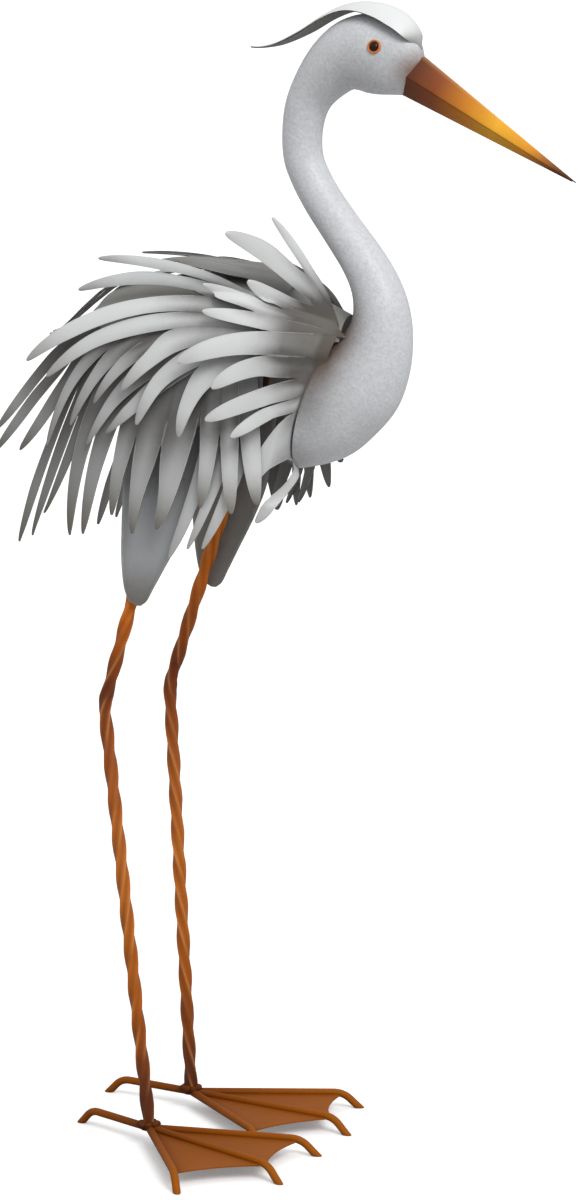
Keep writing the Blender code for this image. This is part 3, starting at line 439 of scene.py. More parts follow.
def stand_offset():
    """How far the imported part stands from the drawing."""
    left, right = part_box("left_eye"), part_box("right_eye")
    middle = (left[0].y + left[1].y + right[0].y + right[1].y) / 4
    low = min(x - half_depth * abs(math.cos(math.radians(angle)))
              for x, _, angle, half_depth, _ in NECK_SECTIONS)
    return Vector((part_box("neck_and_breast")[0].x - low, middle, 0))


STAND = stand_offset()


# Meshes

class Skin:
    """Points with their paint and edge masks, and faces, of a mesh that is being made."""

    def __init__(self):
        self.points = []
        self.faces = []
        self.kinds = []
        self.paint = []
        self.edge = []

    def point(self, where, paint=(0, 0, 0, 0), edge=0.0):
        self.points.append(Vector(where))
        self.paint.append(paint)
        self.edge.append(edge)
        return len(self.points) - 1

    def face(self, corners, kind=0):
        self.faces.append(tuple(corners))
        self.kinds.append(kind)

    def rings(self, rings, kind=0, close_start=True, close_end=True):
        """Skin closed rings of point numbers."""
        for a, b in zip(rings, rings[1:]):
            count = len(a)
            for i in range(count):
                j = (i + 1) % count
                self.face((a[i], a[j], b[j], b[i]), kind)
        if close_start:
            self.face(rings[0][::-1], kind)
        if close_end:
            self.face(rings[-1], kind)

    def grid(self, rows, kind=0):
        for a, b in zip(rows, rows[1:]):
            for c in range(len(a) - 1):
                self.face((a[c], a[c + 1], b[c + 1], b[c]), kind)

    def surface(self, steps, columns, place):
        """Skin an open sheet; place gives a point and its masks for a row and a share across."""
        self.grid([[self.point(*place(row, c / columns)) for c in range(columns + 1)]
                   for row in range(steps + 1)])

    def thicken(self, thickness, facing):
        """Close an open sheet, with its outer face towards facing and its rim of kind 1."""
        normals = [Vector((0, 0, 0)) for _ in self.points]
        total = Vector((0, 0, 0))
        for corners in self.faces:
            a, b, c, d = (self.points[i] for i in corners)
            normal = (c - a).cross(d - b)
            total += normal
            for i in corners:
                normals[i] += normal
        if total.dot(facing) < 0:
            self.faces = [corners[::-1] for corners in self.faces]
            normals = [-normal for normal in normals]
        count = len(self.points)
        for i in range(count):
            step = normals[i].normalized() * thickness / 2
            shade, warm, tone, _ = self.paint[i]
            # the inner face gets the dark inner paint, partly painted shade
            self.point(self.points[i] - step, (shade, warm, tone, 1.0), self.edge[i])
            self.points[i] = self.points[i] + step
        sides = {(corners[k], corners[(k + 1) % 4]) for corners in self.faces for k in range(4)}
        for corners in list(self.faces):
            self.face([i + count for i in corners[::-1]])
        for a, b in sides:
            if (b, a) not in sides:
                self.face((b, a, a + count, b + count), 1)

    def build(self, name, finishes, nodes, sharp=40.0):
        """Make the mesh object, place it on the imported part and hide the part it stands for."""
        mesh = bpy.data.meshes.new(name)
        mesh.from_pydata([tuple(where + STAND) for where in self.points], [], self.faces)
        for label, values in ((PAINT, self.paint), (EDGE, [(edge, 0, 0, 0) for edge in self.edge])):
            layer = mesh.color_attributes.new(label, "FLOAT_COLOR", "POINT")
            layer.data.foreach_set("color", [number for value in values for number in value])
        mesh.polygons.foreach_set("material_index", self.kinds)
        shape = bmesh.new()
        shape.from_mesh(mesh)
        bmesh.ops.recalc_face_normals(shape, faces=shape.faces)
        shape.to_mesh(mesh)
        shape.free()
        mesh.shade_smooth()
        mesh.set_sharp_from_angle(angle=math.radians(sharp))
        for finish in finishes:
            mesh.materials.append(finish)
        piece = bpy.data.objects.new(name, mesh)
        bpy.context.scene.collection.objects.link(piece)
        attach(piece, BODY)
        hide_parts(*nodes)
        return piece


# Shader groups and materials

class Tree:
    """A node tree while it is being wired."""

    def __init__(self, tree):
        self.tree = tree

    def add(self, kind, links=None, **settings):
        """Add a node; links gives its inputs by name or number: a socket or a plain value."""
        node = self.tree.nodes.new(kind)
        for key, value in settings.items():
            setattr(node, key, value)
        for key, value in (links or {}).items():
            if isinstance(value, bpy.types.NodeSocket):
                self.tree.links.new(value, node.inputs[key])
            else:
                node.inputs[key].default_value = value
        return node

    def link(self, source, target):
        self.tree.links.new(source, target)

    def noise(self, scale, detail, roughness=0.5):
        """Noise over the object's own coordinates."""
        where = self.add("ShaderNodeTexCoord").outputs["Object"]
        links = {"Vector": where, "Scale": scale, "Detail": detail, "Roughness": roughness}
        return self.add("ShaderNodeTexNoise", links).outputs[0]

    def swing(self, value, size):
        """Centre a value from 0 to 1 on nought and give it a size."""
        return self.sum("MULTIPLY", self.sum("SUBTRACT", value, 0.5), size)

    def sum(self, operation, a, b=0.0, c=0.0, clamp=False):
        node = self.add("ShaderNodeMath", {0: a, 1: b, 2: c}, operation=operation, use_clamp=clamp)
        return node.outputs[0]

    def mix(self, share, a, b, kind="MIX"):
        node = self.add("ShaderNodeMix", data_type="RGBA", blend_type=kind)
        for key, value in ((0, share), (6, a), (7, b)):
            if isinstance(value, bpy.types.NodeSocket):
                self.tree.links.new(value, node.inputs[key])
            elif key == 0:
                node.inputs[key].default_value = value
            else:
                node.inputs[key].default_value = (*value[:3], 1)
        return node.outputs[2]

    def span(self, value, low, high, to_low=0.0, to_high=1.0):
        """Map a range onto another with a soft start and end."""
        node = self.add("ShaderNodeMapRange", {0: value, 1: low, 2: high, 3: to_low, 4: to_high},
                        interpolation_type="SMOOTHSTEP")
        return node.outputs[0]

    def ramp(self, value, stops):
        node = self.add("ShaderNodeValToRGB", {0: value})
        band = node.color_ramp
        while len(band.elements) > 1:
            band.elements.remove(band.elements[-1])
        band.elements[0].position, band.elements[0].color = stops[0][0], (*stops[0][1], 1)
        for position, colour in stops[1:]:
            band.elements.new(position).color = (*colour, 1)
        return node.outputs[0]


def shader_group(name, inputs, outputs):
    """Return a new node group with its input and output nodes, or the one already made."""
    made = bpy.data.node_groups.get(name)
    if made:
        return made, None, None, None
    made = bpy.data.node_groups.new(name, "ShaderNodeTree")
    for label, kind, value in inputs:
        socket = made.interface.new_socket(name=label, in_out="INPUT", socket_type=kind)
        socket.default_value = value
    for label, kind in outputs:
        made.interface.new_socket(name=label, in_out="OUTPUT", socket_type=kind)
    tree = Tree(made)
    return made, tree, tree.add("NodeGroupInput"), tree.add("NodeGroupOutput")


def sprayed_grain():
    """Fine spray dots and broad uneven coats: a brightness factor and a bump height."""
    made, tree, given, out = shader_group(
        "sprayed grain",
        (("Size", "NodeSocketFloat", 0.0016), ("Grain", "NodeSocketFloat", 0.1),
         ("Mottle", "NodeSocketFloat", 0.1)),
        (("Factor", "NodeSocketFloat"), ("Height", "NodeSocketFloat")))
    if tree:
        fine = tree.noise(tree.sum("DIVIDE", 1.0, given.outputs["Size"]), 2.0, 0.6)
        dots = tree.swing(fine, given.outputs["Grain"])
        coat = tree.swing(tree.noise(55.0, 4.0, 0.62), given.outputs["Mottle"])
        tree.link(tree.sum("ADD", tree.sum("ADD", dots, coat), 1.0), out.inputs["Factor"])
        tree.link(fine, out.inputs["Height"])
    return made


def hand_spray():
    """The hand-sprayed coat: base, dark tone, grey painted shade, warm tint, and the dark inner face, which
    is partly painted shade.
    """
    made, tree, given, out = shader_group(
        "hand spray",
        tuple((label, "NodeSocketColor", (0.5, 0.5, 0.5, 1))
              for label in ("Base", "Dark", "Shade", "Warm", "Inner"))
        + (("Ragged", "NodeSocketFloat", 0.25),),
        (("Color", "NodeSocketColor"), ("Shade", "NodeSocketFloat"), ("Inner", "NodeSocketFloat")))
    if tree:
        mask = tree.add("ShaderNodeAttribute", attribute_name=PAINT)
        parts = tree.add("ShaderNodeSeparateColor", {0: mask.outputs["Color"]})
        uneven = tree.swing(tree.noise(120.0, 6.0, 0.7), given.outputs["Ragged"])

        def ragged(value):
            """Break a mask up where it isn't nought."""
            some = tree.sum("MULTIPLY", tree.sum("MULTIPLY", value, tree.sum("SUBTRACT", 1.0, value)), 4.0)
            return tree.sum("ADD", value, tree.sum("MULTIPLY", some, uneven), clamp=True)

        shade = ragged(parts.outputs[0])
        colour = given.outputs["Base"]
        for share, label in ((parts.outputs[2], "Dark"), (shade, "Shade"),
                             (ragged(parts.outputs[1]), "Warm"), (mask.outputs["Alpha"], "Inner")):
            colour = tree.mix(share, colour, given.outputs[label])
        tree.link(colour, out.inputs["Color"])
        tree.link(shade, out.inputs["Shade"])
        tree.link(mask.outputs["Alpha"], out.inputs["Inner"])
    return made


def edge_highlight():
    """A painted highlight near a sheet's cut edges: a mask that breaks up along the edge."""
    made, tree, given, out = shader_group(
        "edge wear", (("Width", "NodeSocketFloat", 0.1), ("Breaks", "NodeSocketFloat", 0.5)),
        (("Mask", "NodeSocketFloat"),))
    if tree:
        mask = tree.add("ShaderNodeAttribute", attribute_name=EDGE)
        nearness = tree.add("ShaderNodeSeparateColor", {0: mask.outputs["Color"]}).outputs[0]
        edge = tree.span(nearness, tree.sum("SUBTRACT", 1.0, given.outputs["Width"]), 1.0)
        sheen_patch = tree.span(tree.noise(160.0, 3.0), 0.42, 0.62)
        whole = tree.sum("SUBTRACT", 1.0, tree.sum("MULTIPLY", given.outputs["Breaks"], sheen_patch))
        tree.link(tree.sum("MULTIPLY", edge, whole, clamp=True), out.inputs["Mask"])
    return made


def new_material(name):
    """Return a new material, its tree and its shader."""
    made = bpy.data.materials.new(name)
    made.use_nodes = True
    return made, Tree(made.node_tree), made.node_tree.nodes["Principled BSDF"]


def finish_with(tree, shader, colour, roughness, height, bump):
    """Wire colour, roughness and bump into the shader."""
    tree.link(colour, shader.inputs["Base Color"])
    tree.link(roughness, shader.inputs["Roughness"])
    raised = tree.add("ShaderNodeBump", {"Height": height, "Strength": bump, "Distance": 0.0004})
    tree.link(raised.outputs[0], shader.inputs["Normal"])


def sheet_paint(name, coats, edge_light, grain, mottle, gloss, size=0.0016, bump=0.25):
    """Satin spray paint over sheet steel, with painted shade and a painted highlight along the cut edges."""
    _, tree, shader = new_material(name)
    coat = tree.add("ShaderNodeGroup", {label: (*value, 1) for label, value in coats.items()},
                    node_tree=hand_spray())
    dots = tree.add("ShaderNodeGroup", {"Size": size, "Grain": grain, "Mottle": mottle},
                    node_tree=sprayed_grain())
    edge_sheen = tree.add("ShaderNodeGroup", {"Width": 0.14}, node_tree=edge_highlight())
    # painted highlight: a quarter of the way to a lighter colour near the cut edges
    colour = tree.mix(tree.sum("MULTIPLY", edge_sheen.outputs["Mask"], 0.25), coat.outputs["Color"], edge_light)
    colour = tree.mix(1.0, colour, dots.outputs["Factor"], "MULTIPLY")
    rough = tree.sum("ADD", tree.sum("MULTIPLY", coat.outputs["Shade"], 0.12), gloss)
    rough = tree.sum("ADD", rough, tree.sum("MULTIPLY", coat.outputs["Inner"], 0.2))
    finish_with(tree, shader, colour, rough, dots.outputs["Height"], bump)


def edge_paint(name, base, dark):
    """Grey paint on the cut edges of a sheet, dark as painted shade for the slits between feathers, and
    darker where dirt sits.
    """
    _, tree, shader = new_material(name)
    dots = tree.add("ShaderNodeGroup", {"Grain": 0.3, "Mottle": 0.5}, node_tree=sprayed_grain())
    dirt = tree.span(dots.outputs["Factor"], 0.92, 1.06)
    rough = tree.span(dots.outputs["Factor"], 0.9, 1.1, 0.75, 0.55)
    shader.inputs["Specular IOR Level"].default_value = 0.3
    finish_with(tree, shader, tree.mix(dirt, dark, base), rough, dots.outputs["Height"], 0.3)


def banded_paint(name, bands, ridge, hollow, grain, mottle, gloss, shine=0.22):
    """Brushed-on colours that change along a bar, with painted highlights on its ridges and painted shade in
    its hollows.
    """
    _, tree, shader = new_material(name)
    mask = tree.add("ShaderNodeAttribute", attribute_name=PAINT)
    along, ridges, hollows = tree.add("ShaderNodeSeparateColor", {0: mask.outputs["Color"]}).outputs[:3]
    dots = tree.add("ShaderNodeGroup", {"Grain": grain, "Mottle": mottle}, node_tree=sprayed_grain())
    colour = tree.ramp(tree.sum("ADD", along, tree.swing(tree.noise(38.0, 4.0), 0.07)), bands)
    colour = tree.mix(tree.sum("MULTIPLY", ridges, 0.55), colour, ridge)
    colour = tree.mix(tree.sum("MULTIPLY", hollows, 0.75), colour, hollow)
    colour = tree.mix(1.0, colour, dots.outputs["Factor"], "MULTIPLY")
    rough = tree.sum("ADD", tree.sum("MULTIPLY", hollows, 0.2), gloss)
    shader.inputs["Specular IOR Level"].default_value = shine
    finish_with(tree, shader, colour, rough, dots.outputs["Height"], 0.3)


def from_table(bands):
    """Turn a table of bands into places and colours."""
    return [(place, srgb(*colour)) for place, *colour in bands]


def sheet_finish(name):
    """The paint of a sheet's faces and that of its cut edges."""
    return [paints()[name], paints()["cut_edge_paint"]]


def paints():
    """Make the materials once, from the colours in the panel."""
    if bpy.data.materials.get("neck_paint"):
        return bpy.data.materials
    panel = bpy.context.scene.heron_colours
    neck, crest, feather, dark, thigh, shade, warm, inner, eye_ring = (
        tuple(getattr(panel, name))[:3] for name in (
            "neck", "crest", "feather", "dark_feather", "thigh", "shade", "warm", "inner", "eye_ring"))
    coats = {"Base": feather, "Dark": dark, "Shade": shade, "Warm": warm, "Inner": inner}
    sheet_paint("neck_paint", {**coats, "Base": neck, "Warm": srgb(128, 96, 80)}, feather,
                0.50, 0.16, 0.46, 0.0026, 0.85)
    sheet_paint("crest_paint", {**coats, "Base": crest}, crest, 0.08, 0.06, 0.42)
    sheet_paint("feather_paint", coats, srgb(236, 236, 232), 0.07, 0.08, 0.46)
    # cut edges: dark grey, painted shade in the slits between feathers
    edge_paint("cut_edge_paint", srgb(120, 119, 116), srgb(70, 68, 64))
    sheet_paint("thigh_paint", {**coats, "Base": thigh}, feather, 0.12, 0.14, 0.48)
    # the saddle's mid grey is partly painted shade, as it only shows in the shade between the feathers
    sheet_paint("saddle_paint", {**coats, "Base": srgb(150, 150, 146)}, feather, 0.14, 0.2, 0.55)
    banded_paint("beak_paint", from_table(BEAK_BANDS), srgb(246, 190, 100), srgb(92, 48, 18),
                 0.10, 0.12, 0.40)
    banded_paint("leg_paint", from_table(LEG_BANDS), srgb(218, 146, 82), srgb(78, 36, 14),
                 0.12, 0.34, 0.46, 0.14)
    banded_paint("foot_paint", from_table(FOOT_BANDS), srgb(168, 96, 20), srgb(76, 36, 4),
                 0.08, 0.16, 0.52, 0.08)
    banded_paint("eye_ring_paint", ((0.0, eye_ring), (1.0, eye_ring)), srgb(240, 170, 110),
                 srgb(140, 70, 30), 0.05, 0.1, 0.25)
    banded_paint("pupil_gloss", from_table(((0.0, 46, 24, 16), (1.0, 46, 24, 16))), srgb(60, 34, 22),
                 srgb(20, 10, 8), 0.02, 0.05, 0.06)
    return bpy.data.materials


# Neck, head, crest, eyes and beak

def neck_point(section, turn, inset=0.0):
    x, z, angle, half_depth, half_width_ = section
    axis = Vector((math.cos(math.radians(angle)), 0, math.sin(math.radians(angle))))
    return (Vector((x, 0, z)) + axis * math.cos(turn) * (half_depth - inset)
            + Vector((0, math.sin(turn) * (half_width_ - inset), 0)))


def make_neck():
    skin = Skin()
    sections = refine(NECK_SECTIONS, NECK_STEPS)
    turns = [2 * math.pi * i / NECK_SIDES for i in range(NECK_SIDES)]

    def ring(section, inset=0.0, inner=0.0, push=0.0):
        angle = math.radians(section[2])
        ahead = Vector((math.sin(angle), 0, -math.cos(angle))) * push
        numbers = []
        for turn in turns:
            where = neck_point(section, turn, inset)
            shade, warm = spray(NECK_SHADE_AND_BROWN, where.x, where.z)
            numbers.append(skin.point(where + ahead, (shade, warm, 0.0, inner)))
        return numbers

    front = sections[0]
    rings = [ring(front, 0.0024, 0, -0.0013), ring(front, 0.0010, 0, -0.0009), ring(front)]
    rings += [ring(section) for section in sections[1:]]
    # the rim and the inside of the breast get the dark inner paint, partly painted shade
    rings.append(ring(sections[-1], SHELL_WALL / 2, 0.5, 0.0005))
    for section in sections[:-HOLLOW_SECTIONS * NECK_STEPS:-1]:
        rings.append(ring(section, SHELL_WALL, 1.0))
    skin.rings(rings)
    return skin.build("neck_shell", [paints()["neck_paint"]], ["neck_and_breast"], 60)


def make_crest():
    skin = Skin()
    sections = refine(CREST_SECTIONS, CREST_STEPS)

    def place(i, across):
        x, z, half, droop = sections[i]
        before = sections[max(i - 1, 0)]
        after = sections[min(i + 1, len(sections) - 1)]
        along = Vector((after[0] - before[0], 0, after[1] - before[1])).normalized()
        inward = Vector((-along.z, 0, along.x))
        u = 2 * across - 1
        where = Vector((x, half * u * smooth((i + 2) / CREST_ROUND_ROWS), z)) + inward * droop * u * u
        front = 1 - smooth(i / CREST_BROWN_ROWS)
        return where, (0.25 * front, 0.55 * front, 0.0, 0.0)

    skin.surface(len(sections) - 1, CREST_COLUMNS, place)
    skin.thicken(bpy.context.scene.heron_sizes.sheet, UP)
    return skin.build("crest_sheet", sheet_finish("crest_paint"), ["crest_plate"])


def eye_frame(side):
    mirror = Vector((1, side, 1))
    axis = (Vector(EYE_LOOK) * mirror).normalized()
    return Matrix.Translation(Vector(EYE_PLACE) * mirror) @ axis.to_track_quat("Z", "Y").to_matrix().to_4x4()


def make_eye(side, label):
    """The orange ring and the dark glossy dome set in it."""
    size = bpy.context.scene.heron_sizes.eye_radius
    seat = eye_frame(side)
    skin = Skin()
    dome_share, dome_foot = EYE_RING[-1]
    dome = [(dome_share * math.cos(a), dome_foot + EYE_DOME_RISE * math.sin(a))
            for a in (math.pi / 2 * i / EYE_DOME_STEPS for i in range(EYE_DOME_STEPS))]
    rings = []
    for share, height in EYE_RING + tuple(dome):
        # the ring gets a painted highlight from its crown outwards and painted shade down into the crease
        # round the dome; the dome takes the darker pupil colour
        paint = (0.0, smooth((share - 0.8) / 0.2) * 0.4, smooth((0.8 - share) / 0.12) * 0.5, 0)
        ring = []
        for i in range(EYE_SIDES):
            turn = 2 * math.pi * i / EYE_SIDES
            where = seat @ Vector((size * share * math.cos(turn), size * share * math.sin(turn), height))
            ring.append(skin.point(where, paint))
        rings.append(ring)
    split = len(EYE_RING)
    skin.rings(rings[:split], 0, True, False)
    skin.rings(rings[split:], 1, False, True)
    skin.rings(rings[split - 1:split + 1], 1, False, False)
    return skin.build(label + "_eye_bead", [paints()["eye_ring_paint"], paints()["pupil_gloss"]],
                      [label + "_eye"], 50)


def beak_half(name, top, bottom, top_half, bottom_half, shorter, node):
    """Make one mandible, a folded sheet closed underneath, between two heights at its base."""
    base = Vector((NECK_SECTIONS[0][0], 0, NECK_SECTIONS[0][1]))
    tip = Vector((BEAK_TIP[0], 0, BEAK_TIP[1]))
    angle = math.radians(NECK_SECTIONS[0][2])
    lift = -Vector((math.cos(angle), 0, math.sin(angle)))
    forward = Vector((lift.z, 0, -lift.x))
    reach = (tip - base).dot(forward) - shorter
    drift = (tip - base).dot(lift)
    upper = top > 0
    skin = Skin()
    rings = []
    for s in range(BEAK_STEPS + 1):
        share = s / BEAK_STEPS
        taper = 1 - BEAK_TAPER * share
        centre = base + forward * (FIT_GAP * (s == 0) + reach * share) + lift * drift * share
        low = FIT_GAP / 2 if upper else bottom * taper
        high = top * taper if upper else -FIT_GAP / 2
        ring = []
        for side in (1, -1):
            for c in range(BEAK_COLUMNS + 1)[::side]:
                u = c / BEAK_COLUMNS
                y = (blend(top_half, bottom_half, u) + BEAK_BULGE * math.sin(math.pi * u)) * taper
                height = blend(high, low, u)
                # the upper mandible gets a painted highlight along its ridge and painted shade towards the
                # mouth line; the lower one gets painted shade all over, more at the mouth line
                edge = smooth((u - 0.8) / 0.2) if upper else smooth((0.18 - u) / 0.18)
                sheen_patch = 0.35 * smooth((0.14 - u) / 0.14) if upper else 0.0
                shadow = 0.25 * edge if upper else 0.45 + 0.3 * edge
                ring.append(skin.point(centre + lift * height + Vector((0, side * y, 0)),
                                       (share, sheen_patch, shadow, 0)))
        rings.append(ring)
    skin.rings(rings)
    return skin.build(name, [paints()["beak_paint"]], [node], 32)


# Body and feathers

def half_width(x):
    return read_curve(BODY_WIDTHS, x)


def ridge(x):
    return SHOULDER + read_curve(BACK_RISE, x)


def side_depth(x, z):
    """Distance from the middle plane to the body's side at a place seen from the side."""
    rise = min(ROOF_LIMIT, max(0.0, (z - SHOULDER) / (ridge(x) - SHOULDER)))
    return half_width(x) * math.sqrt(1 - rise * rise)


def slant(x, z):
    """How much longer a distance square to the body's side gets when it is measured along Y."""
    along = (side_depth(x + PROBE, z) - side_depth(x - PROBE, z)) / (2 * PROBE)
    up = (side_depth(x, z + PROBE) - side_depth(x, z - PROBE)) / (2 * PROBE)
    return math.sqrt(1 + along * along + up * up)


def make_saddle():
    skin = Skin()

    def place(r, across):
        x = blend(SADDLE_FRONT, SADDLE_REAR, r / SADDLE_STEPS)
        rise = ridge(x) - SHOULDER
        turn = math.acos(SADDLE_HEM / rise) * (2 * across - 1)
        where = Vector((x, half_width(x) * math.sin(turn), SHOULDER + rise * math.cos(turn)))
        # the saddle is darkened with painted shade, as it lies in shade under the feather sheets
        return where - UP * SADDLE_WALL / 2, (0.25, 0.1, 0.3, 0)

    skin.surface(SADDLE_STEPS, SADDLE_COLUMNS, place)
    skin.thicken(SADDLE_WALL, UP)
    return skin.build("saddle_sheet", sheet_finish("saddle_paint"), ["body_saddle"])


def stations():
    """Places along a feather, closer together near its rounded tip."""
    count = bpy.context.scene.heron_sizes.feather_steps
    return [1 - (1 - i / count) ** TIP_CROWDING for i in range(count + 1)]


def finger_width(t):
    return max(FINGER_END, (1 - t ** FINGER_TAPER) ** FINGER_ROUND)


def finger_line(root, tip, arch, places):
    """Return places along a finger's middle line and the directions across it, in the side view."""
    chord = tip - root
    rise = Vector((chord.y, -chord.x)).normalized() * arch
    bend = (root + tip) / 2 + rise * 2
    line = []
    for t in places:
        place = root * (1 - t) ** 2 + bend * 2 * t * (1 - t) + tip * t * t
        ahead = (bend - root) * (1 - t) + (tip - bend) * t
        line.append((place, Vector((-ahead.y, ahead.x)).normalized()))
    return line


def left_comb(part, spec):
    """The left side's own version of a feather sheet."""
    tips = LEFT_TIPS.get(part, [finger[:2] for finger in spec["fingers"]])
    slim = LEFT_SLIM.get(part, [1] * len(tips))
    fingers = [(*tip, arch, half * share, slit + LEFT_SLIT, lift)
               for tip, share, (_, _, arch, half, slit, lift) in zip(tips, slim, spec["fingers"])]
    return {**spec, "root": LEFT_ROOTS.get(part, spec["root"]), "fingers": fingers, "plate": None}


def comb_fingers(spec, places):
    """Work out the two edges of each finger in the side view; they share edges up to the slits."""
    start, end = (Vector(place) for place in spec["root"])
    halves = [finger[3] for finger in spec["fingers"]]
    total = 2 * sum(halves)
    lines = []
    done = 0.0
    for x, z, arch, half, _, _ in spec["fingers"]:
        lines.append(finger_line(start.lerp(end, (done + half) / total), Vector((x, z)), arch, places))
        done += 2 * half
    facing = 1 if lines[0][1][1].dot(end - start) > 0 else -1

    def edge(i, other, slit):
        """One edge of finger i, next to the finger numbered other."""
        turn = 1 if other > i else -1
        has_neighbour = 0 <= other < len(lines)
        apart = (end - start) * (turn * halves[i] / total)
        found = []
        for j, ((place, across), t) in enumerate(zip(lines[i], places)):
            gap = lines[other][j][0] - place if has_neighbour else None
            if has_neighbour and t <= slit:
                apart = gap * halves[i] / (halves[i] + halves[other])
                found.append(place + apart)
                continue
            half = halves[i]
            if has_neighbour:
                room = abs(gap.dot(across)) * halves[i] / (halves[i] + halves[other])
                half = max(FINGER_LEAST, min(half, FAN_SHARE * room))
            own = across * (half * turn * facing)
            ease = smooth((t - (slit if has_neighbour else 0.0)) / SLIT_EASE) * (i != spec["plate"])
            found.append(place + apart.lerp(own, ease) * finger_width(t))
        return found

    fingers = []
    for i, (_, _, _, _, slit, lift) in enumerate(spec["fingers"]):
        before = spec["fingers"][i - 1][4] if i else 0.0
        fingers.append((edge(i, i - 1, before), edge(i, i + 1, slit), before, slit, lift))
    return fingers


def comb_height(spec, t):
    at_root, further_on, rise = spec["layers"]
    layers = at_root + (further_on - at_root) * smooth(t / rise)
    sheet = bpy.context.scene.heron_sizes.sheet
    return SEAT_GAP + sheet / 2 + layers * LAYER_STEP + spec["flare"] * t * t


def rim_depth(x, z):
    """Distance from the middle plane to the breast's rear rim."""
    rim_x, rim_z, angle, half_depth, half_width_ = NECK_SECTIONS[-1]
    along = (x - rim_x) * math.cos(math.radians(angle)) + (z - rim_z) * math.sin(math.radians(angle))
    share = min(abs(along), half_depth - RIM_INSET) / half_depth
    return (half_width_ - SHELL_WALL) * math.sqrt(1 - share * share)


def comb_point(part, side, place, t, lift, tucked=0.0, leaves=COLLAR_LEAVES):
    """Put a place of the side view on its sheet.  The collar starts inside the breast's rim."""
    x, z = place
    height = comb_height(SIDE_COMBS[part], t)
    under = SEAT_GAP + bpy.context.scene.heron_sizes.sheet / 2 + TUCKED_LAYER * LAYER_STEP
    height += (under - height) * tucked
    out = side_depth(x, z) + slant(x, z) * height + lift
    if part == "collar":
        in_rim = smooth((COLLAR_TURN_TOP - z) / COLLAR_TURN) * (1 - smooth(t / leaves))
        out += (rim_depth(x, z) - out) * in_rim
    return Vector((x, side * out, z))


def feather_masks(spec, t, u, share, luck, before, slit, x, z):
    """Paint and edge masks at one point of a feather: t along it, u from edge to edge."""
    shade, warm = (part * spec["brown"] for part in spray(FEATHER_SHADE_AND_BROWN, x, z))
    near_slit = 0.0
    for end, edge in ((before, -u), (slit, u)):
        if end > 0:
            near_slit += smooth((edge + 0.1) / 1.1) * math.exp(-((t - end) / SLIT_SHADE_REACH) ** 2)
    strength, end = spec["dusk"]
    shade += SLIT_SHADE * near_slit
    shade += strength * (1 - smooth((t - end + DUSK_LEAD) / DUSK_EASE))
    shade += RIM_SHADE * smooth((abs(u) - RIM_SHADE_START) / (1 - RIM_SHADE_START))
    tone = blend(*spec["tones"], share) + (luck - 0.5) * 0.12
    tip = smooth((t - TIP_TINT_START - 0.15 * luck) / TIP_TINT_EASE)
    warm += spec["tips"] * tip * (0.55 + 0.6 * luck)
    paint = (min(1.0, shade), min(1.0, warm), min(1.0, max(0.0, tone)), 0.0)
    return paint, abs(u) if t > min(before, slit, 0.9) else 0.0


def root_rows(skin, part, side, edges, last):
    """Rows of points that carry a feather's root on under the neck."""
    columns = bpy.context.scene.heron_sizes.feather_columns
    rows = []
    for r in range(ROOT_ROWS):
        row = []
        for c in range(columns + 1):
            if c == 0 and last:
                row.append(last[r])
                continue
            place, ahead = (edges[0][k].lerp(edges[1][k], c / columns) for k in (0, 4))
            reach = ROOT_RUN[part] * (ROOT_ROWS - r) / ROOT_ROWS
            where = comb_point(part, side, place + (place - ahead).normalized() * reach, 0.0, 0.0)
            # full painted shade and brown on the root under the neck
            row.append(skin.point(where, (1.0, 0.6, 0.3, 0.0)))
        rows.append(row)
    return rows


def make_side_comb(part, spec, side):
    """Build one feather sheet, its feathers slightly cupped and turned by hand."""
    places = stations()
    columns = bpy.context.scene.heron_sizes.feather_columns
    if side > 0:
        spec = left_comb(part, spec)
    skin = Skin()
    last = []
    fingers = comb_fingers(spec, places)
    for number, (low, high, before, slit, lift) in enumerate(fingers):
        luck = chance(number + 1, len(part), side + 2)
        share = number / (len(fingers) - 1)
        tucked = 1.0 if side < 0 and number in TUCKED.get(part, ()) else 0.0
        leaves = LAST_LEAVES if tucked and number == len(fingers) - 1 else COLLAR_LEAVES
        rows = []
        for j, t in enumerate(places):
            row = []
            lift_low = lift * smooth((t - before) / SLIT_EASE)
            lift_high = lift * smooth((t - slit) / SLIT_EASE)
            tuck = tucked * smooth((t - TUCKED_START) / TUCKED_EASE)
            free = smooth((t - max(before, slit)) / 0.3)
            for c in range(columns + 1):
                u = 2 * c / columns - 1
                if c == 0 and last and t <= before:
                    row.append(last[j + (ROOT_ROWS if part in ROOT_RUN else 0)])
                    continue
                place = low[j].lerp(high[j], c / columns)
                out = blend(lift_low, lift_high, c / columns)
                out += free * (CUP * (1 - u * u) + CUP_TILT * (luck - 0.5) * u)
                where = comb_point(part, side, place, t, out, tuck, leaves)
                row.append(skin.point(where, *feather_masks(spec, t, u, share, luck, before, slit, *place)))
            rows.append(row)
        if part in ROOT_RUN:
            rows = root_rows(skin, part, side, (low, high), last) + rows
        skin.grid(rows)
        last = [row[-1] for row in rows]
    skin.thicken(bpy.context.scene.heron_sizes.sheet, Vector((0, side, 0)))
    label = "left_" if side > 0 else "right_"
    return skin.build(label + part + "_feathers", sheet_finish("feather_paint"),
                      [label + part + "_comb"])


def back_point(layer, t, x, y, drop, leaves):
    bed = SHOULDER + (ridge(x) - SHOULDER) * math.sqrt(1 - (y / half_width(x)) ** 2)
    clear = SEAT_GAP + bpy.context.scene.heron_sizes.sheet / 2 + layer * LAYER_STEP
    return Vector((x, y, bed + clear * BACK_BED + drop * smooth((t - leaves) / (1 - leaves))))


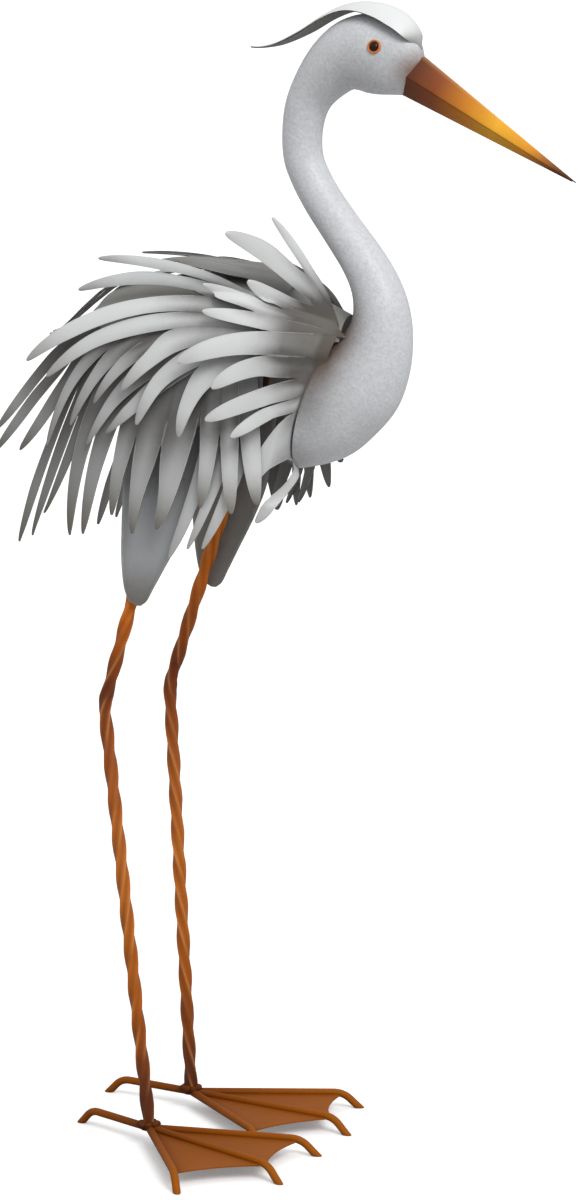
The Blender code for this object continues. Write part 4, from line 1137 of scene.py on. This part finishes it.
def make_back_comb(name, spec):
    """Build one feather sheet over the ridge of the back."""
    layer, root_x, tips = spec
    places = stations()
    columns = bpy.context.scene.heron_sizes.feather_columns
    tone, narrowing = (0.9, 1.0) if name == "upper" else (0.3, REAR_TIP)
    looks = {"tones": (tone, tone), "tips": 0.5, "brown": 0.5, "dusk": (0.35, 0.4)}
    fingers = []
    for x1, y1, z1 in tips:
        drop = z1 - (SHOULDER + (ridge(x1) - SHOULDER) * math.sqrt(1 - (y1 / half_width(x1)) ** 2))
        leaves = BACK_SLIT
        if drop < 0:
            leaves = (SADDLE_REAR - REAR_LEAVES - root_x) / (x1 - root_x)
        edges = []
        for t in places:
            half = BACK_FINGER * finger_width(t) * blend(1.0, narrowing, smooth(t))
            y = y1 * (1 - BACK_PINCH * (1 - t))
            edges.append((t, root_x + (x1 - root_x) * t, y - half, y + half, drop, leaves))
        fingers.append(edges)
    skin = Skin()
    last = []
    for i, edges in enumerate(fingers):
        luck = chance(i + 1, layer, 4)
        rows = []
        for j, (t, x, low, high, drop, leaves) in enumerate(edges):
            x_high = x
            if i + 1 < len(fingers) and t <= BACK_SLIT:
                other = fingers[i + 1][j]
                high = (high + other[2]) / 2
                x_high = (x + other[1]) / 2
            joined = last and t <= BACK_SLIT
            start = skin.points[last[j]] if joined else Vector((x, low, 0))
            row = []
            for c in range(columns + 1):
                u = 2 * c / columns - 1
                if c == 0 and joined:
                    row.append(last[j])
                    continue
                y = blend(start.y, high, c / columns)
                where = back_point(layer, t, blend(start.x, x_high, c / columns), y, drop, leaves)
                where.z += BACK_CUP * (1 - u * u) * smooth((t - BACK_SLIT) / 0.2)
                masks = feather_masks(looks, t, u, 0.5, luck, BACK_SLIT, BACK_SLIT, x, where.z)
                row.append(skin.point(where, *masks))
            rows.append(row)
        skin.grid(rows)
        last = [row[-1] for row in rows]
    skin.thicken(bpy.context.scene.heron_sizes.sheet, UP)
    return skin.build(name + "_back_feathers", sheet_finish("feather_paint"),
                      [name + "_back_comb"])


# Thighs, legs and feet

def leg_reach():
    return bpy.context.scene.heron_sizes.leg_bar / math.sqrt(2) * LEG_CORNER


def leg_spread(z):
    return LEG_SPREAD + (HIP_SPREAD - LEG_SPREAD) * max(0.0, (z - KNEE_HEIGHT) / (HIP_TOP - KNEE_HEIGHT))


def make_thigh(label, side):
    rear = [(z, x) for z, x, _ in THIGH_OUTLINE]
    front = [(z, x) for z, _, x in THIGH_OUTLINE]
    widest = THIGH_OUTLINE[-1][2] - THIGH_OUTLINE[-1][1]
    low, high = THIGH_OUTLINE[0][0], THIGH_OUTLINE[-1][0]
    sheet = bpy.context.scene.heron_sizes.sheet
    skin = Skin()

    def place(r, across):
        z = blend(low, high, (r / THIGH_STEPS) ** 1.6)
        x0, x1 = read_curve(rear, z), read_curve(front, z)
        outer = leg_spread(z) + leg_reach() + THIGH_GAP + sheet / 2
        u = 2 * across - 1
        curl = THIGH_CROWN * (u * (x1 - x0) / widest) ** THIGH_CURL
        tip = 1 - smooth((z - low) / 0.045)
        # shade: darker towards the tip and the long edges, and painted shade at the top, where the plate goes
        # up under the feathers
        shade = 0.2 * tip + 0.25 * smooth((abs(u) - 0.6) / 0.4) + 0.45 * smooth((z - 0.572) / 0.02)
        where = Vector((blend(x0, x1, across), side * (outer - curl), z))
        return where, (shade, 0.65 * tip, 0.1, 0.0), abs(u)

    skin.surface(THIGH_STEPS, THIGH_COLUMNS, place)
    skin.thicken(sheet, Vector((0, side, 0)))
    return skin.build(label + "_thigh_sheet", sheet_finish("thigh_paint"),
                      [label + "_thigh_plate"])


def make_leg(label, side):
    """The twisted square bar with softened corners, bent at the knee."""
    sizes = bpy.context.scene.heron_sizes
    ankle_x, knee_x, hip_x, _ = LEG_PLACES[label]
    hip = Vector((hip_x, 0, HIP_TOP))
    knee = Vector((knee_x, 0, KNEE_HEIGHT))
    ankle = Vector((ankle_x, 0, ANKLE_WELD_TOP + FIT_GAP))
    upper = knee - hip
    lower = ankle - knee
    length = upper.length + lower.length

    def at(run):
        if run < upper.length:
            return hip + upper.normalized() * run
        return knee + lower.normalized() * (run - upper.length)

    skin = Skin()
    rings = []
    for i in range(LEG_RINGS + 1):
        run = length * i / LEG_RINGS
        ease = max(0.0, KNEE_BEND / 2 - abs(run - upper.length))
        middle = (at(run - ease) + at(run) * 2 + at(run + ease)) / 4
        if ease == 0:
            middle = at(run)
        direction = (at(min(length, run + KNEE_BEND / 2)) - at(max(0, run - KNEE_BEND / 2))).normalized()
        sideways = Vector((0, 1, 0))
        forward = sideways.cross(direction)
        twist = 2 * math.pi * run / sizes.twist_pitch * side + math.pi / 4
        middle = middle + Vector((0, side * leg_spread(middle.z), 0))
        ring = []
        for k in range(LEG_SIDES):
            angle = 2 * math.pi * k / LEG_SIDES
            grown = (abs(math.cos(angle)) ** LEG_SQUARENESS
                     + abs(math.sin(angle)) ** LEG_SQUARENESS) ** (-1 / LEG_SQUARENESS)
            corner = smooth((grown - 1.12) / 0.17)
            radius = sizes.leg_bar / 2 * grown
            turned = angle + twist
            out = sideways * math.cos(turned) + forward * math.sin(turned)
            where = middle + out * radius
            where += out * 0.00016 * noise.noise(where * 160)
            if i == LEG_RINGS:
                where += direction * ((ANKLE_WELD_TOP + FIT_GAP - where.z) / direction.z)
            # painted highlight streaks on the bar's corners and painted shade on its flat faces
            streak = noise.noise(Vector((run * 26, angle * 0.9, side * 3.0)))
            light = corner * smooth((streak + 0.25) / 0.6)
            hollow = 1 - smooth((grown - 1.0) / 0.08)
            hollow *= 0.35 + 0.3 * noise.noise(Vector((run * 14, angle, 7.0)))
            ring.append(skin.point(where, (run / length, light, max(0.0, hollow), 0)))
        rings.append(ring)
    skin.rings(rings)
    return skin.build(label + "_twisted_leg", [paints()["leg_paint"]], [label + "_leg"], 60)


def toe_path(start, angle, length):
    """Points of a toe from the ankle: straight, rounded bend, tip cut on the ground."""
    forward = Vector((math.cos(angle), math.sin(angle), 0))
    kink = start + forward * length
    tip = start + forward * (length + TOE_TIP_REACH) - UP * TOE_HEIGHT
    fall = (tip - kink).normalized()
    path = [start.lerp(kink - forward * TOE_BEND, i / 16) for i in range(16)]
    a, c = kink - forward * TOE_BEND, kink + fall * TOE_BEND
    path += [a * (1 - t) ** 2 + kink * 2 * t * (1 - t) + c * t * t for t in (i / 10 for i in range(11))]
    return path + [c.lerp(tip, 0.5), tip]


def add_rod(skin, path, radius, reach):
    """Add a round rod along a path in one upright plane, cut flat on the ground at its end."""
    along = path[-1] - path[0]
    sideways = Vector((-along.y, along.x, 0)).normalized()
    rings = []
    run = 0.0
    for i, point in enumerate(path):
        before = path[max(i - 1, 0)]
        after = path[min(i + 1, len(path) - 1)]
        direction = (after - before).normalized()
        up = sideways.cross(direction)
        run += (point - before).length
        last = i == len(path) - 1
        for scale in ((1.0, 0.86) if last else (1.0,)):
            ring = []
            for k in range(ROD_SIDES):
                angle = 2 * math.pi * (k + 0.5) / ROD_SIDES
                where = point + (sideways * math.cos(angle) + up * math.sin(angle)) * radius * scale
                if last:
                    floor = 0.0007 if scale == 1.0 else 0.0
                    where -= direction * ((where.z - floor) / direction.z)
                # painted highlight on the top of the rod and painted shade under it
                low = smooth(-math.sin(angle) * (1 if up.z > 0 else -1))
                ring.append(skin.point(where, (min(1.0, run / reach), 0.35 * (1 - low) ** 3, 0.35 * low, 0)))
            rings.append(ring)
    skin.rings(rings)


def add_blob(skin, centre, radii, key):
    """Add one weld blob: a lumpy flattened ball."""
    rings = []
    for a in range(1, 10):
        polar = math.pi * a / 10
        ring = []
        for k in range(18):
            turn = 2 * math.pi * k / 18
            flat = math.sin(polar)
            way = Vector((flat * math.cos(turn), flat * math.sin(turn), math.cos(polar)))
            lump = 1 + 0.16 * noise.noise(way * 1.7 + Vector((key, key * 2, 0)))
            where = centre + Vector((way.x * radii[0], way.y * radii[1], way.z * radii[2])) * lump
            # painted highlight on the top of the blob and painted shade under it
            ring.append(skin.point(where, (0.02, 0.25 * smooth(way.z), 0.45 * smooth(-way.z) + 0.2, 0)))
        rings.append(ring)
    skin.rings(rings)


def add_web(skin, start, heading, spread, radius):
    """Add the sheet between the three front toes, with hollow front edges."""
    sheet = bpy.context.scene.heron_sizes.sheet
    middle = TOE_HEIGHT - 2 * radius * WEB_DROP + sheet / 2
    for turn in (-1, 1):
        a = Vector((math.cos(heading), math.sin(heading), 0)) * MIDDLE_TOE
        b = Vector((math.cos(heading + turn * spread), math.sin(heading + turn * spread), 0)) * SIDE_TOE
        edge = b - a
        hollow = Vector((-edge.y, edge.x, 0)).normalized()
        if hollow.dot(-a) < 0:
            hollow = -hollow

        def place(r, u):
            v = 0.03 + 0.97 * r / WEB_STEPS
            rim = a + edge * u + hollow * edge.length * WEB_SAG * 4 * u * (1 - u)
            where = start + rim * v
            where.z = middle - 0.0006 * math.sin(math.pi * u) * v
            # lighter towards the middle between two toes, and painted shade next to the rods where the web
            # meets them
            beside = max(math.exp(-(share * v * edge.length / 0.008) ** 2) for share in (u, 1 - u))
            return where, (0.25 + 0.55 * v, 0.30 * math.sin(math.pi * u) * v, 0.6 * beside, 0)

        part = Skin()
        part.surface(WEB_STEPS, WEB_STEPS, place)
        part.thicken(sheet, UP)
        base = len(skin.points)
        for where, paint in zip(part.points, part.paint):
            skin.point(where, paint[:3] + (0.0,))
        for corners in part.faces:
            skin.face([base + i for i in corners])


def make_foot(label, side):
    sizes = bpy.context.scene.heron_sizes
    radius = sizes.toe_rod / 2
    ankle_x, _, _, heading = LEG_PLACES[label]
    start = Vector((ankle_x, side * LEG_SPREAD, TOE_HEIGHT))
    heading = math.radians(heading)
    spread = math.radians(TOE_SPREAD)
    skin = Skin()
    toes = ((heading, MIDDLE_TOE), (heading + math.pi, BACK_TOE), (heading + spread, SIDE_TOE),
            (heading - spread, SIDE_TOE))
    for angle, length in toes:
        add_rod(skin, toe_path(start, angle, length), radius, MIDDLE_TOE)
    add_web(skin, start, heading, spread, radius)
    add_blob(skin, start + UP * 0.0016, (ANKLE_WELD_RADIUS * 0.86, ANKLE_WELD_RADIUS * 0.86, 0.0048), side)
    for i in range(7):
        turn = heading + 2 * math.pi * (i + 0.4 * chance(i, side + 3, 2)) / 7
        size = 0.0026 + 0.0014 * chance(i + 3, side + 5, 1)
        where = start + Vector((math.cos(turn), math.sin(turn), 0)) * ANKLE_WELD_RADIUS * 0.72 + UP * 0.0034
        add_blob(skin, where, (size * 1.25, size * 1.25, size), i + 3 * side)
    return skin.build(label + "_webbed_foot", [paints()["foot_paint"]], [label + "_foot"], 45)


# Stage

def make_camera():
    heading, dip = math.radians(CAMERA_HEADING), math.radians(CAMERA_DIP)
    look = Vector((-math.sin(heading) * math.cos(dip), math.cos(heading) * math.cos(dip), -math.sin(dip)))
    data = bpy.data.cameras.new("photo_camera")
    data.sensor_fit = "VERTICAL"
    data.sensor_height = SENSOR
    data.lens = CAMERA_FOCUS / PHOTO_HEIGHT * SENSOR
    data.clip_end = 1000
    camera = bpy.data.objects.new("photo_camera", data)
    camera.location = CAMERA_PLACE
    camera.rotation_euler = look.to_track_quat("-Z", "Y").to_euler()
    bpy.context.scene.collection.objects.link(camera)
    bpy.context.scene.camera = camera


def make_sun():
    data = bpy.data.lights.new("key", "SUN")
    data.energy = SUN_ENERGY
    data.angle = math.radians(SUN_ANGLE)
    lamp = bpy.data.objects.new("key", data)
    lamp.location = SUN_PLACE
    lamp.rotation_euler = (Vector(SUN_AIM) - Vector(SUN_PLACE)).to_track_quat("-Z", "Y").to_euler()
    bpy.context.scene.collection.objects.link(lamp)


def make_floor(reach):
    """A plain pale floor that runs out of sight."""
    made, tree, shader = new_material("pale_floor")
    seen = tree.add("ShaderNodeLightPath").outputs["Is Camera Ray"]
    pale = tree.mix(seen, (0.50, 0.50, 0.50), (0.92, 0.92, 0.92))
    tree.link(pale, shader.inputs["Base Color"])
    shader.inputs["Roughness"].default_value = 0.9
    shader.inputs["Specular IOR Level"].default_value = 0.0
    shader.inputs["Emission Color"].default_value = (1.0, 1.0, 1.0, 1)
    tree.link(tree.sum("MULTIPLY", seen, FLOOR_GLOW), shader.inputs["Emission Strength"])
    mesh = bpy.data.meshes.new("pale_floor")
    sides = 64
    corners = [(reach * math.cos(2 * math.pi * i / sides), reach * math.sin(2 * math.pi * i / sides), 0.0)
               for i in range(sides)]
    mesh.from_pydata(corners, [], [tuple(range(sides))])
    mesh.materials.append(made)
    floor = bpy.data.objects.new("pale_floor", mesh)
    bpy.context.scene.collection.objects.link(floor)


def make_world(strength):
    """Soft studio light: brightest overhead, dimmer towards the horizon."""
    world = bpy.data.worlds.new("soft_studio")
    world.use_nodes = True
    tree = Tree(world.node_tree)
    shader = world.node_tree.nodes["Background"]
    where = tree.add("ShaderNodeTexCoord").outputs["Generated"]
    height = tree.add("ShaderNodeSeparateXYZ", {0: where}).outputs["Z"]
    glow = tree.ramp(tree.sum("MULTIPLY_ADD", height, 0.5, 0.5),
                     ((0.0, (0.7, 0.7, 0.7)), (0.5, (0.46, 0.47, 0.48)), (0.75, (0.86, 0.86, 0.86)),
                      (1.0, (1.0, 1.0, 1.0))))
    seen = tree.add("ShaderNodeLightPath").outputs["Is Camera Ray"]
    tree.link(tree.mix(seen, glow, (1.3, 1.3, 1.3)), shader.inputs["Color"])
    shader.inputs["Strength"].default_value = strength
    bpy.context.scene.world = world


# Settings, operators and panel

class HeronSizes(bpy.types.PropertyGroup):
    """Sizes of the heron's sheets, bars and rods."""

    sheet: FloatProperty(name="Feather sheet", description="Thickness of the feather, crest and thigh sheets",
                         default=0.0012, min=0.0005, max=0.003, unit="LENGTH")
    eye_radius: FloatProperty(name="Eye radius", description="Radius of the orange ring round the eye",
                              default=0.0058, min=0.002, max=0.01, unit="LENGTH")
    leg_bar: FloatProperty(name="Leg bar", description="Side of the square leg bar",
                           default=0.0095, min=0.004, max=0.02, unit="LENGTH")
    twist_pitch: FloatProperty(name="Twist pitch", description="Length of a full turn of the leg bar",
                               default=0.132, min=0.03, max=0.5, unit="LENGTH")
    toe_rod: FloatProperty(name="Toe rod", description="Diameter of the round toe rods",
                           default=0.0068, min=0.003, max=0.015, unit="LENGTH")
    feather_steps: IntProperty(name="Feather steps", description="Rows of faces along a feather",
                               default=36, min=8, max=120)
    feather_columns: IntProperty(name="Feather columns", description="Faces across a feather",
                                 default=8, min=2, max=24)
    floor_reach: FloatProperty(name="Floor reach", description="Radius of the pale floor",
                               default=300.0, min=5.0, max=1000.0, unit="LENGTH")


def colour_setting(name, description, colour):
    return FloatVectorProperty(name=name, description=description, default=colour, size=3,
                               min=0.0, max=1.0, subtype="COLOR")


class HeronColours(bpy.types.PropertyGroup):
    """Colours of the heron's paint."""

    neck: colour_setting("Neck", "Paint of the head, neck and breast", srgb(206, 208, 211))
    crest: colour_setting("Crest", "Paint of the crest plate", srgb(226, 228, 228))
    feather: colour_setting("Feather", "Paint of the light feathers", srgb(220, 221, 221))
    dark_feather: colour_setting("Dark feather", "Paint of the darkest feathers", srgb(112, 112, 110))
    thigh: colour_setting("Thigh", "Paint of the thigh sheets", srgb(160, 162, 164))
    # painted shade: the grey mixed in by the shade mask at slits, roots, overlaps and joins
    shade: colour_setting("Shade", "Grey spray in the hollows", srgb(96, 94, 92))
    warm: colour_setting("Warm tint", "Olive brown spray on tips and roots", srgb(84, 74, 56))
    # dark inner paint, partly painted shade, as the inner faces lie in shade
    inner: colour_setting("Inner face", "Dark paint inside the sheets", srgb(132, 131, 128))
    eye_ring: colour_setting("Eye ring", "Orange round the eye", srgb(206, 116, 58))


class HERON_OT_neck(bpy.types.Operator):
    """Build the head, neck and hollow breast"""
    bl_idname = "heron.neck"
    bl_label = "Neck and breast"

    def execute(self, context):
        make_neck()
        return {"FINISHED"}


class HERON_OT_crest(bpy.types.Operator):
    """Build the crest plate with its plume"""
    bl_idname = "heron.crest"
    bl_label = "Crest"

    def execute(self, context):
        make_crest()
        return {"FINISHED"}


class HERON_OT_eyes(bpy.types.Operator):
    """Build both eyes"""
    bl_idname = "heron.eyes"
    bl_label = "Eyes"

    def execute(self, context):
        for side, label in ((1, "left"), (-1, "right")):
            make_eye(side, label)
        return {"FINISHED"}


class HERON_OT_beak(bpy.types.Operator):
    """Build both mandibles"""
    bl_idname = "heron.beak"
    bl_label = "Beak"

    def execute(self, context):
        beak_half("upper_mandible", BEAK_RISE, 0, BEAK_RIDGE_HALF, BEAK_HALF_WIDTH, 0.0, "upper_beak")
        beak_half("lower_mandible", 0, -BEAK_DROP, BEAK_HALF_WIDTH, BEAK_KEEL_HALF, BEAK_SHORTER,
                  "lower_beak")
        return {"FINISHED"}


class HERON_OT_body(bpy.types.Operator):
    """Build the saddle sheet and the feather sheets along the back"""
    bl_idname = "heron.body"
    bl_label = "Back"

    def execute(self, context):
        make_saddle()
        for name, spec in BACK_COMBS.items():
            make_back_comb(name, spec)
        return {"FINISHED"}


class HERON_OT_feathers(bpy.types.Operator):
    """Build the feather sheets of both sides"""
    bl_idname = "heron.feathers"
    bl_label = "Side feathers"

    def execute(self, context):
        for side in (1, -1):
            for part, spec in SIDE_COMBS.items():
                make_side_comb(part, spec, side)
        return {"FINISHED"}


class HERON_OT_legs(bpy.types.Operator):
    """Build the thigh sheets and the twisted legs"""
    bl_idname = "heron.legs"
    bl_label = "Thighs and legs"

    def execute(self, context):
        for side, label in ((1, "left"), (-1, "right")):
            make_thigh(label, side)
            make_leg(label, side)
        return {"FINISHED"}


class HERON_OT_feet(bpy.types.Operator):
    """Build both webbed feet"""
    bl_idname = "heron.feet"
    bl_label = "Feet"

    def execute(self, context):
        for side, label in ((1, "left"), (-1, "right")):
            make_foot(label, side)
        return {"FINISHED"}


class HERON_OT_stage(bpy.types.Operator):
    """Set up the floor, the soft light and the camera"""
    bl_idname = "heron.stage"
    bl_label = "Stage"

    def execute(self, context):
        make_floor(context.scene.heron_sizes.floor_reach)
        make_world(WORLD_STRENGTH)
        make_sun()
        make_camera()
        context.scene.view_settings.view_transform = "Standard"
        return {"FINISHED"}


OPERATORS = (HERON_OT_neck, HERON_OT_crest, HERON_OT_eyes, HERON_OT_beak, HERON_OT_body,
             HERON_OT_feathers, HERON_OT_legs, HERON_OT_feet, HERON_OT_stage)


class HERON_PT_panel(bpy.types.Panel):
    """Lists the heron's parts, sizes and colours"""
    bl_idname = "HERON_PT_panel"
    bl_label = "Metal heron"
    bl_space_type = "VIEW_3D"
    bl_region_type = "UI"
    bl_category = "Heron"

    def draw(self, context):
        layout = self.layout
        for operator in OPERATORS:
            layout.operator(operator.bl_idname)
        for settings in (context.scene.heron_sizes, context.scene.heron_colours):
            box = layout.box()
            for name in settings.bl_rna.properties.keys():
                if name not in ("rna_type", "name"):
                    box.prop(settings, name)


CLASSES = (HeronSizes, HeronColours, *OPERATORS, HERON_PT_panel)


def register():
    for each in CLASSES:
        bpy.utils.register_class(each)
    bpy.types.Scene.heron_sizes = PointerProperty(type=HeronSizes)
    bpy.types.Scene.heron_colours = PointerProperty(type=HeronColours)


def unregister():
    del bpy.types.Scene.heron_colours
    del bpy.types.Scene.heron_sizes
    for each in reversed(CLASSES):
        bpy.utils.unregister_class(each)


def main():
    """Build the whole bird and its stage."""
    register()
    bpy.ops.heron.neck()
    bpy.ops.heron.crest()
    bpy.ops.heron.eyes()
    bpy.ops.heron.beak()
    bpy.ops.heron.body()
    bpy.ops.heron.feathers()
    bpy.ops.heron.legs()
    bpy.ops.heron.feet()
    bpy.ops.heron.stage()


if __name__ == "__main__":
    main()
